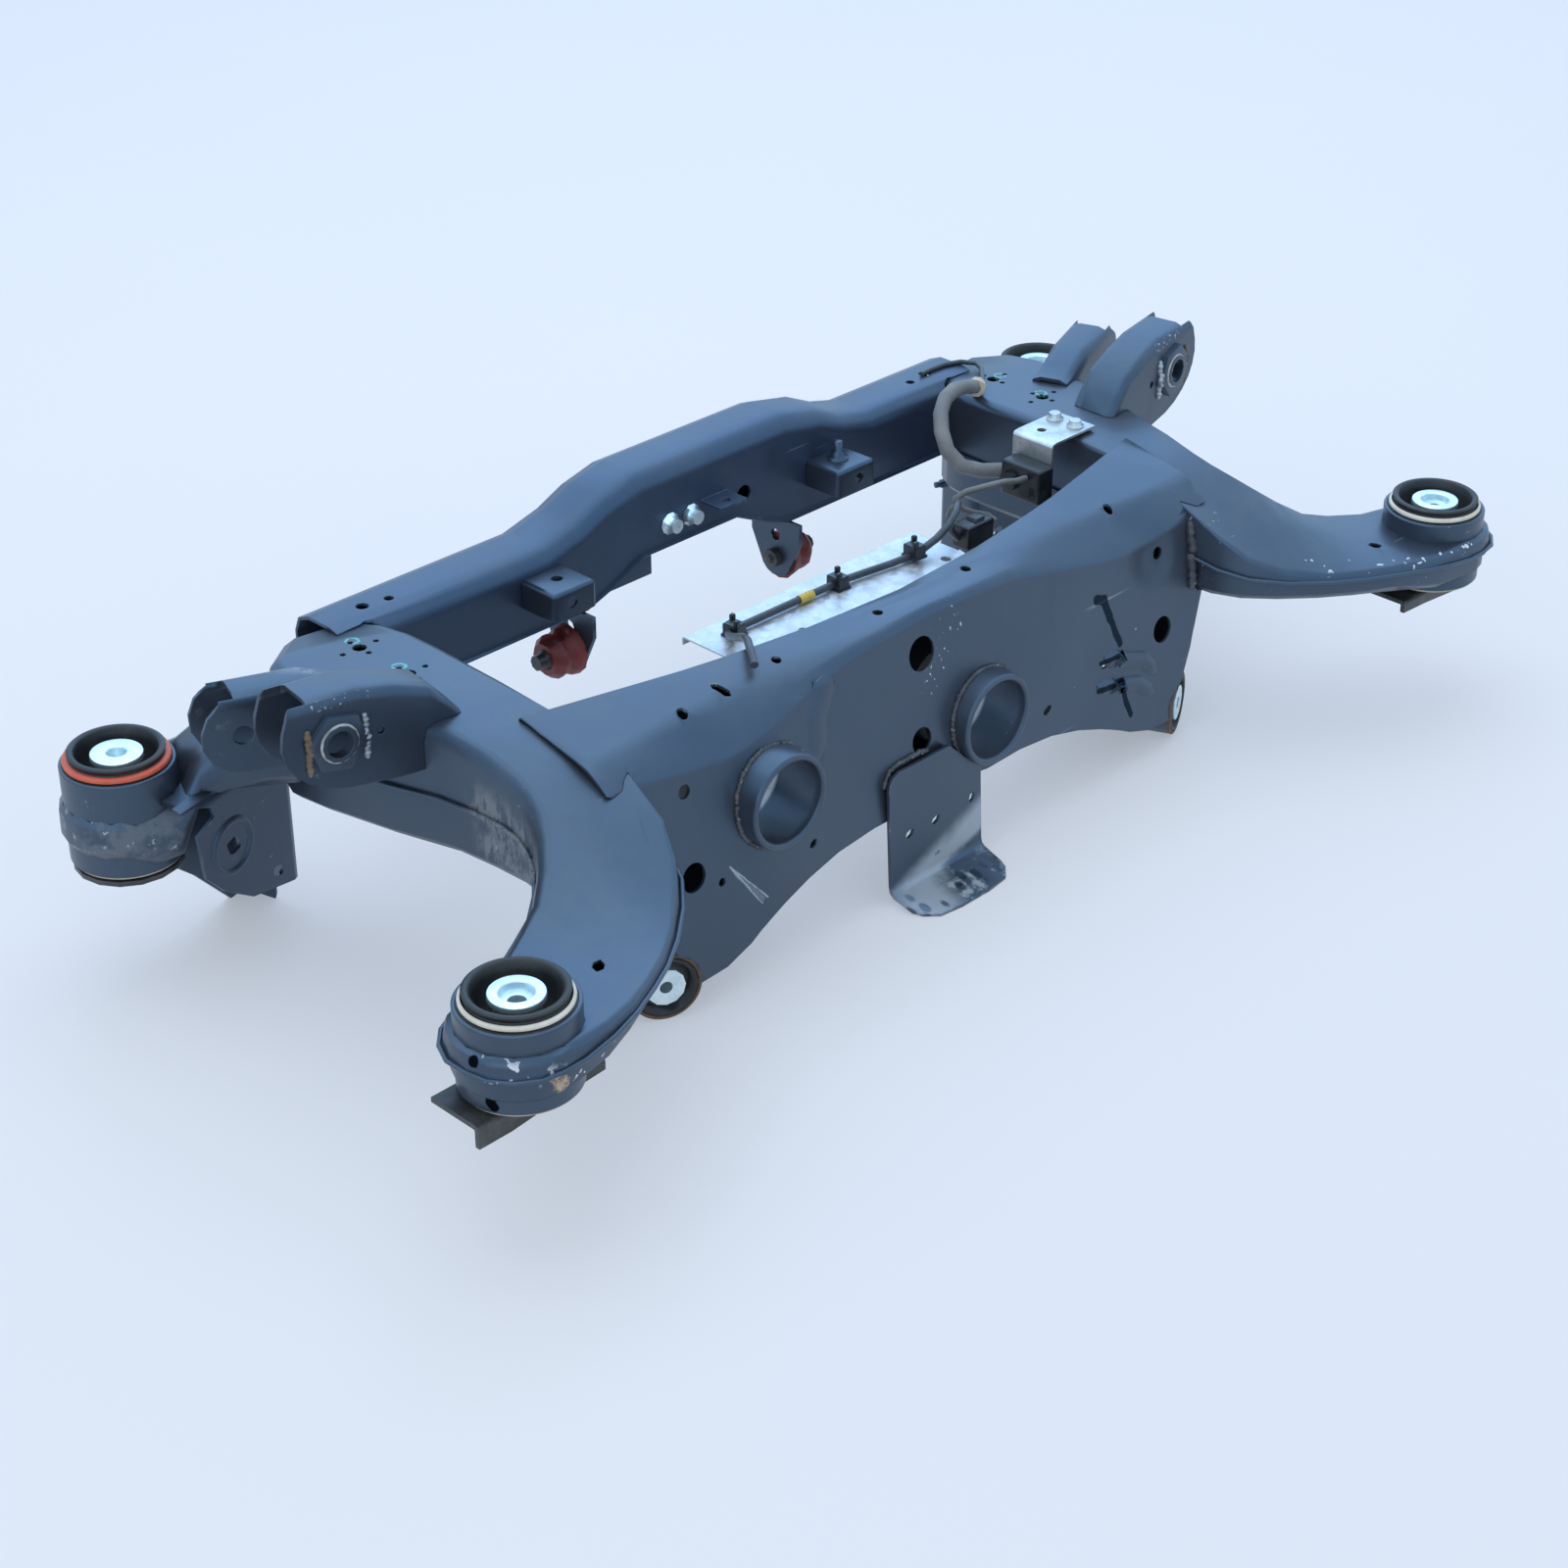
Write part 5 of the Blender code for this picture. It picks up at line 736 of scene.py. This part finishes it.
def lay(curve, material, slotName):
    # the curve's tube as a mesh piece
    holder = bpy.data.objects.new(curve.name + "_holder", curve)
    bpy.context.scene.collection.objects.link(holder)
    bpy.context.view_layer.update()
    graph = bpy.context.evaluated_depsgraph_get()
    mesh = bpy.data.meshes.new_from_object(holder.evaluated_get(graph))
    mesh.name = curve.name
    bpy.data.objects.remove(holder)
    mesh.shade_smooth()
    mesh.set_sharp_from_angle(angle=math.radians(60))
    finish(curve.name, mesh, material, slotName)


# A pressed ridge: across it goes from edge to edge in shares of its half width and its height
ridgeShape = ((-1.0, -0.35), (-0.72, 0.28), (-0.38, 0.82), (0.0, 1.0), (0.38, 0.82), (0.72, 0.28), (1.0, -0.35))
ridgeStep = 0.004


def ridge(name, nodeName, points, half, height, material, slotName, closed=False):
    tree = carrierTree([nodeName])
    runs = []
    for start, end in zip(points, points[1:] + points[:1] if closed else points[1:]):
        count = max(2, round((end - start).length / ridgeStep))
        runs += [start.lerp(end, k / count) for k in range(count)]
    if not closed:
        runs.append(points[-1])
    bm = bmesh.new()
    rows = []
    last = len(runs) - 1
    for index, point in enumerate(runs):
        spot, normal, _, _ = tree.find_nearest(point)
        if closed:
            ahead = runs[(index + 1) % len(runs)] - runs[index - 1]
            swell = 1.0
        else:
            ahead = runs[min(index + 1, last)] - runs[max(index - 1, 0)]
            swell = min(1.0, 0.3 + 0.35 * min(index, last - index))
        across = normal.cross(ahead).normalized()
        rows.append([bm.verts.new(spot + across * half * swell * u + normal * height * v * (swell if v > 0 else 1.0))
                     for u, v in ridgeShape])
    count = len(ridgeShape)
    for one, two in zip(rows, rows[1:] + rows[:1] if closed else rows[1:]):
        for k in range(count):
            bm.faces.new((one[k], one[(k + 1) % count], two[(k + 1) % count], two[k]))
    if not closed:
        bm.faces.new(rows[0])
        bm.faces.new(rows[-1])
    bmesh.ops.recalc_face_normals(bm, faces=bm.faces)
    fromBmesh(name, bm, material, slotName, 60)


def addLine(curve, points):
    spline = curve.splines.new("POLY")
    spline.points.add(len(points) - 1)
    for knot, point in zip(spline.points, points):
        knot.co = (*point, 1.0)


def ringOf(centre, axis, radius, start, end, steps):
    axis = axis.normalized()
    side = axis.orthogonal().normalized()
    up = axis.cross(side)
    turns = [math.radians(start + (end - start) * k / steps) for k in range(steps + 1)]
    return [centre + side * radius * math.cos(a) + up * radius * math.sin(a) for a in turns]


print("welds")
tubeRuns = []
for nodeName in bothSides("differential_tube"):
    low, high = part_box(nodeName)
    centre = Vector(((low.x + high.x) / 2, low.y + 0.0135, (low.z + high.z) / 2))
    tubeRuns.append(ringOf(centre, Vector((0, 1, 0)), (high.x - low.x) / 2 + 0.0012, 0, 360, 40))
weldCurve("tube_welds", ["crossmember_front_pressing"], tubeRuns, 0.0026)

railSeam = ((0.3215, -0.118, 0.015), (0.3200, -0.121, -0.008), (0.3180, -0.124, -0.026), (0.3165, -0.127, -0.044))
seamRuns = [path([(side * x, y, z) for x, y, z in railSeam]) for side in (-1, 1)]
weldCurve("rail_welds", ["crossmember_front_pressing"], seamRuns, 0.0050, None, 0.4)

centreSeam = ((-0.0745, -0.130, -0.078), (-0.066, -0.130, -0.066), (-0.055, -0.130, -0.0635),
              (-0.022, -0.130, -0.0630))
weldCurve("centre_weld", ["centre_bracket", "crossmember_front_pressing"], [path(centreSeam)], 0.0026)

# Ears of the upper links: a nut plate welded on at both sides, its bore worn bright
ear = {
    "centre": (0.4736, 0.026, 0.065), "splay": 9.0, "face": -0.0047, "inner": 0.0109, "outer": 0.0156,
    "bead": 0.0228, "beadDepth": -0.002, "beadRadius": 0.0032, "beadHalf": 0.021,
    "foot": ((0.428, 0.017, -0.004), (0.424, 0.017, 0.018), (0.420, 0.018, 0.036), (0.412, 0.020, 0.050),
             (0.396, 0.020, 0.056)),
}
for side, tag in ((-1, "left"), (1, "right")):
    x, y, z = ear["centre"]
    place = Matrix.Translation(at(side * x, y, z)) @ Matrix.Rotation(math.radians(side * ear["splay"]), 4, "Z")
    inner, outer = ear["inner"], ear["outer"]
    rim = [(inner, 0.0004), (inner + 0.0008, -0.0008), (outer - 0.0010, -0.0010), (outer, 0.0004)]
    seat = place @ Matrix.Translation((0, ear["face"], 0)) @ Matrix.Rotation(math.radians(-90), 4, "X")
    fromBmesh("ear_ring_" + tag, turned(rim, 40, seat), wornSteel, "bracket_paint", 70)
    for metal, metalName, edge in ((brownBead, "brown", 1), (brightBead, "bright", -1)):
        across = side * edge * ear["bead"]
        run = [place @ Vector((across, ear["beadDepth"], ear["beadHalf"] * k / 4)) for k in range(-4, 4)]
        weldCurve("ear_weld_" + metalName + "_" + tag, ["upper_link_bracket_" + tag], [run], ear["beadRadius"],
                  metal, 0.1)
    foot = path([(side * x, y, z) for x, y, z in ear["foot"]])
    weldCurve("ear_foot_" + tag, ["rail_upper_" + tag, "rail_lower_" + tag], [foot], 0.0026)


# Rolled seam: the upper rail shell's lower rim shows as a bead round the rail. The rim is a narrow face that
# looks down, next to a wall, and its bead shows where nothing stands in front of that wall.
rolled = {"thickness": 0.0036, "reach": 0.15, "rimLooks": -0.5, "wallFrom": -0.2, "wallTo": 0.9, "openFrom": 0.3,
          "off": 0.001, "radius": 0.0017, "lift": 0.0012, "margin": 0.0018}


def rimChains(nodeName):
    bm = bmesh.new()
    bm.from_mesh(nodes[nodeName].data)
    bmesh.ops.remove_doubles(bm, verts=bm.verts, dist=merged["gap"])
    bm.normal_update()
    tree = BVHTree.FromBMesh(bm)
    links = {}
    for edge in bm.edges:
        if len(edge.link_faces) != 2:
            continue
        rim, wall = sorted(edge.link_faces, key=lambda face: face.normal.z)
        narrow = rim.calc_area() / max(e.calc_length() for e in rim.edges)
        tilt = wall.normal.z
        if rim.normal.z > rolled["rimLooks"] or narrow > rolled["thickness"]:
            continue
        if not rolled["wallFrom"] < tilt < rolled["wallTo"]:
            continue
        middle = (edge.verts[0].co + edge.verts[1].co) / 2
        eye = middle + wall.normal * rolled["off"] + Vector((0, 0, rolled["off"]))
        hit, _, _, _ = tree.ray_cast(eye, wall.normal, rolled["reach"])
        if hit is None or tilt > rolled["openFrom"]:
            for here, there in (edge.verts, reversed(edge.verts)):
                links.setdefault(tuple(round(c, 6) for c in here.co), []).append(tuple(round(c, 6) for c in there.co))
    bm.free()
    chains = []
    while links:
        start = next((key for key, ends in links.items() if len(ends) == 1), next(iter(links)))
        chain = [start]
        while links.get(chain[-1]):
            following = links[chain[-1]].pop()
            links[following].remove(chain[-1])
            chain.append(following)
        for key in [key for key, ends in links.items() if not ends]:
            del links[key]
        if len(chain) > 2:
            chains.append([Vector(point) for point in chain])
    return chains


def kept(point, margin):
    # the point, moved to lie inside the CAD box by the margin
    low, high = cadBox
    return Vector([min(max(value, low[axis] + margin), high[axis] - margin) for axis, value in enumerate(point)])


print("seams and ribs")
for tag in ("left", "right"):
    seam = newCurve("rail_seam_" + tag, rolled["radius"])
    for chain in rimChains("rail_upper_" + tag):
        addLine(seam, [kept(point + Vector((0, 0, rolled["lift"])), rolled["margin"]) for point in chain])
    lay(seam, railPaint, "frame_paint")

faceRidges = {
    "face_rib_upper": (0.0090, 0.0026, ((0.199, -0.134, -0.067), (0.250, -0.135, -0.086), (0.266, -0.138, -0.104))),
    "face_rib_lower": (0.0085, 0.0026, ((0.188, -0.136, -0.089), (0.240, -0.137, -0.104), (0.262, -0.139, -0.122))),
    "face_crease": (0.0130, 0.0016, ((-0.120, -0.118, 0.036), (-0.138, -0.126, 0.005), (-0.142, -0.132, -0.030))),
}
for name, (half, height, points) in faceRidges.items():
    ridge(name, "crossmember_front_pressing", path(points), half, height, facePaint, "frame_paint")

# Pressed rims round the holes of the lower link brackets
lowerRim = {"centre": (0.473, 0.1650, -0.083), "splay": -15.0, "radius": 0.0215, "half": 0.0042, "height": 0.0020}
for side, tag in ((-1, "left"), (1, "right")):
    x, y, z = lowerRim["centre"]
    axis = Matrix.Rotation(math.radians(side * lowerRim["splay"]), 4, "Z") @ Vector((0, 1, 0))
    circle = ringOf(at(side * x, y, z), axis, lowerRim["radius"], 0, 345, 23)
    ridge("lower_rim_" + tag, "lower_link_bracket_" + tag, circle, lowerRim["half"], lowerRim["height"],
          bracketPaint, "bracket_paint", True)

# Differential tubes: the rolled mouth and the bore behind it, whose near-white colour is partly a painted highlight
print("tubes and sleeves")
tube = {"mouth": 0.0026, "lip": 0.0006, "wall": 0.0038}
for nodeName in bothSides("differential_tube"):
    low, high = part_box(nodeName)
    outer = (high.x - low.x) / 2
    length = high.y - low.y
    centre = Vector(((low.x + high.x) / 2, low.y, (low.z + high.z) / 2))
    place = Matrix.Translation(centre) @ Matrix.Rotation(math.radians(-90), 4, "X")
    mouth, wall = tube["mouth"], outer - tube["wall"]
    profile = curved(outer - mouth, mouth, mouth, 0, -90, 4)
    profile += curved(outer - mouth - tube["lip"], mouth, mouth, -90, -180, 4)
    profile += [(wall - 0.0020, 0.0090), (wall, 0.0130), (wall, length), (outer, length)]
    fromBmesh(nodeName + "_turned", turned(profile, 72, place), tubePaint, "frame_paint", 50, (nodeName,))

# Lower link sleeves: a rusty rim round the rubber
sleeve = {"front": (0.307, -0.128, -0.1515), "splay": 25.0, "outer": 0.0281, "inner": 0.0253}
for side, tag in ((-1, "left"), (1, "right")):
    x, y, z = sleeve["front"]
    outer, inner = sleeve["outer"], sleeve["inner"]
    turn = Matrix.Rotation(math.radians(side * sleeve["splay"]), 4, "Z") @ Matrix.Rotation(math.radians(90), 4, "X")
    rim = [(outer, -0.0030), (outer + 0.0003, 0.0002), (outer - 0.0008, 0.0009), (inner + 0.0006, 0.0009),
           (inner, 0.0001), (inner, -0.0010)]
    band = turned(rim, 56, Matrix.Translation(at(side * x, y, z)) @ turn)
    fromBmesh("sleeve_rim_" + tag, band, rustyRim, "bracket_paint", 40)

# Box ends: the sheet that closes the crossmember below the rail, seen only through the hole in its face.
# It narrows with the box below a level, by a share of its half width.
boxEnd = {"levels": (-0.052, -0.085, -0.116), "half": 0.338, "front": -0.1165, "back": -0.034, "lean": 0.13,
          "sheet": 0.0015, "narrowFrom": -0.065, "narrowOver": 0.055, "narrowBy": 0.11, "narrowMost": 1.4}
for side, tag in ((-1, "left"), (1, "right")):
    bm = bmesh.new()
    rows = []
    for z in boxEnd["levels"]:
        below = min(max((boxEnd["narrowFrom"] - z) / boxEnd["narrowOver"], 0.0), boxEnd["narrowMost"])
        x = side * boxEnd["half"] * (1 - boxEnd["narrowBy"] * below)
        rows.append([bm.verts.new(at(x, y, z)) for y in (boxEnd["front"] + boxEnd["lean"] * z, boxEnd["back"])])
    for upper, lower in zip(rows, rows[1:]):
        bm.faces.new((upper[0], upper[1], lower[1], lower[0]))
    bmesh.ops.recalc_face_normals(bm, faces=bm.faces)
    bmesh.ops.solidify(bm, geom=bm.faces[:], thickness=boxEnd["sheet"])
    bmesh.ops.recalc_face_normals(bm, faces=bm.faces)
    fromBmesh("box_end_" + tag, bm, framePaint, "frame_paint", 30)

# Harness: black clips, a yellow band, a cream tie and the thin lead over the rail's end
print("harness")
harness = {
    "radius": 0.0033,
    "clips": ((-0.104, 0.002, 8), (0.013, 0.0015, -2), (0.093, -0.009, -4)),
    "clip": (
        ((-0.0064, -0.0074, -0.0050), (0.0064, 0.0074, 0.0066)),
        ((-0.0074, -0.0086, -0.0050), (0.0074, 0.0086, -0.0022)),
        ((-0.0074, -0.0078, 0.0060), (-0.0020, -0.0040, 0.0118)),
        ((0.0024, 0.0034, 0.0060), (0.0070, 0.0076, 0.0108)),
    ),
    "clipEdge": 0.0008,
    "band": (-0.0243, 0.0018), "bandHalf": 0.0075, "bandOver": 0.0008,
    "lead": ((0.331, 0.128), (0.350, 0.143), (0.366, 0.158), (0.372, 0.170), (0.362, 0.180), (0.347, 0.186),
             (0.330, 0.187), (0.316, 0.186)),
    "leadRadius": 0.0022, "leadLevel": 0.6,
    "tie": (0.327, 0.127, 0.075), "tieRadius": 0.0084,
    "tieEnds": ((-0.005, -0.003, -0.0066), (0.001, 0.0008, -0.0066)),
}
harnessTree = carrierTree(["harness_cable"])


def cableCentre(x, y):
    spot, _, _, _ = harnessTree.find_nearest(at(x, y, 0.060))
    return Vector((x, y + midY, spot.z - harness["radius"]))


def clip(name, place):
    bm = bmesh.new()
    for low, high in harness["clip"]:
        middle = [(a + b) / 2 for a, b in zip(low, high)]
        size = [b - a for a, b in zip(low, high)]
        bmesh.ops.create_cube(bm, size=1.0, matrix=Matrix.Translation(middle) @ Matrix.Diagonal((*size, 1.0)))
    bmesh.ops.bevel(bm, geom=bm.edges[:], offset=harness["clipEdge"], segments=2, affect="EDGES")
    bmesh.ops.transform(bm, matrix=place, verts=bm.verts)
    fromBmesh(name, bm, blackPlastic, "black_plastic", 60)


for index, (x, y, turn) in enumerate(harness["clips"]):
    clip("clip_%d" % index, Matrix.Translation(cableCentre(x, y)) @ Matrix.Rotation(math.radians(turn), 4, "Z"))
band = newCurve("yellow_band", harness["radius"] + harness["bandOver"])
middle = cableCentre(*harness["band"])
addLine(band, [middle + Vector((end * harness["bandHalf"], 0, 0)) for end in (-1, 1)])
lay(band, yellowTape, "black_plastic")

topTree = carrierTree(["rail_upper_right", "far_beam_upper"])


def laid(x, y, radius):
    hit, _, _, _ = topTree.ray_cast(at(x, y, 0.15), Vector((0, 0, -1)))
    return Vector((x, y + midY, hit.z + radius)) if hit else at(x, y, railTop + radius)


lead = newCurve("thin_lead", harness["leadRadius"])
rest = [laid(x, y, harness["leadRadius"]) for x, y in harness["lead"]]
level = max(point.z for point in rest)
share = harness["leadLevel"]
addLine(lead, [Vector((point.x, point.y, point.z * (1 - share) + level * share)) for point in rest])
lay(lead, cableSkin, "black_plastic")
tie = newCurve("cream_tie", harness["tieRadius"])
grip, _, _, _ = carrierTree(["grey_sleeve"]).find_nearest(at(*harness["tie"]))
addLine(tie, [grip + Vector(end) for end in harness["tieEnds"]])
lay(tie, creamRing, "grey_sleeve")

print("stage, lights and camera")
stage = {
    "floor": (0.44, 0.45, 0.48), "floorDim": 0.97, "floorGlow": (0.31, 0.34, 0.385), "size": 40.0,
    "wall": (0.93, 0.97, 1.0), "sky": (0.86, 0.93, 1.0), "skyPower": 0.82,
    "mirrored": (0.50, 0.74, 1.0), "mirroredPower": 0.75, "aim": (0.0, 0.0, 0.1),
}
floorMesh = bmesh.new()
bmesh.ops.create_grid(floorMesh, x_segments=1, y_segments=1, size=stage["size"])
floorData = bpy.data.meshes.new("floor")
floorMesh.to_mesh(floorData)
floorMesh.free()
floor = bpy.data.objects.new("floor", floorData)
bpy.context.scene.collection.objects.link(floor)
floorPaint, floorShader, floorWire, floorSpot = newMaterial("floorPaint")
floorTone = floorSpot.noise(2.0, 3.0).between(stage["floor"], tuple(c * stage["floorDim"] for c in stage["floor"]))
# the floor gives a little light of its own, so the shadow below the part stays pale
plug(floorShader, Base_Color=floorTone, Roughness=0.9, Emission_Color=stage["floorGlow"], Emission_Strength=1.0)
floorData.materials.append(floorPaint)

world = bpy.data.worlds.new("studio")
bpy.context.scene.world = world
world.use_nodes = True
sky = Wire(world.node_tree)
background = world.node_tree.nodes["Background"]
ray = sky.node("LightPath", None, None, 0)
glossy = sky.node("LightPath", None, None, 3)
# the camera sees a plain pale wall; the paint mirrors a bluer, brighter sky
tone = ray.between(glossy.between(stage["sky"], stage["mirrored"]), stage["wall"])
world.node_tree.links.new(tone.socket, background.inputs["Color"])
power = ray * (1.0 - stage["skyPower"]) + stage["skyPower"] + glossy * stage["mirroredPower"]
world.node_tree.links.new(power.socket, background.inputs["Strength"])


def softBox(name, place, size, power, colour):
    light = bpy.data.lights.new(name, "AREA")
    light.shape = "RECTANGLE"
    light.size, light.size_y = size
    light.energy = power
    light.color = colour
    lamp = bpy.data.objects.new(name, light)
    bpy.context.scene.collection.objects.link(lamp)
    lamp.location = place
    lamp.rotation_euler = (Vector(stage["aim"]) - Vector(place)).to_track_quat("-Z", "Y").to_euler()


softBox("overhead", (0.2, 0.6, 2.6), (3.0, 2.4), 26.0, (0.74, 0.86, 1.0))
# a blue glow low behind the part: the tops mirror it towards the camera
softBox("backGlow", (2.3, 2.2, 2.5), (3.8, 2.2), 32.0, (0.28, 0.54, 1.0))
softBox("leftFill", (-2.6, -1.2, 1.4), (1.8, 1.8), 8.0, (1.0, 0.98, 0.95))

photoView = {"place": (-1.559, -1.476, 1.102), "heading": 44.38, "fall": 30.41, "lens": 68.56}
heading, fall = math.radians(photoView["heading"]), math.radians(photoView["fall"])
look = Vector((math.cos(heading) * math.cos(fall), math.sin(heading) * math.cos(fall), -math.sin(fall)))
cameraData = bpy.data.cameras.new("photoCamera")
cameraData.lens = photoView["lens"]
cameraData.sensor_width = 36.0
camera = bpy.data.objects.new("photoCamera", cameraData)
bpy.context.scene.collection.objects.link(camera)
camera.location = at(*photoView["place"])
camera.rotation_euler = look.to_track_quat("-Z", "Y").to_euler()
bpy.context.scene.camera = camera
bpy.context.scene.view_settings.view_transform = "Standard"

bpy.context.view_layer.update()
print("pieces ready")
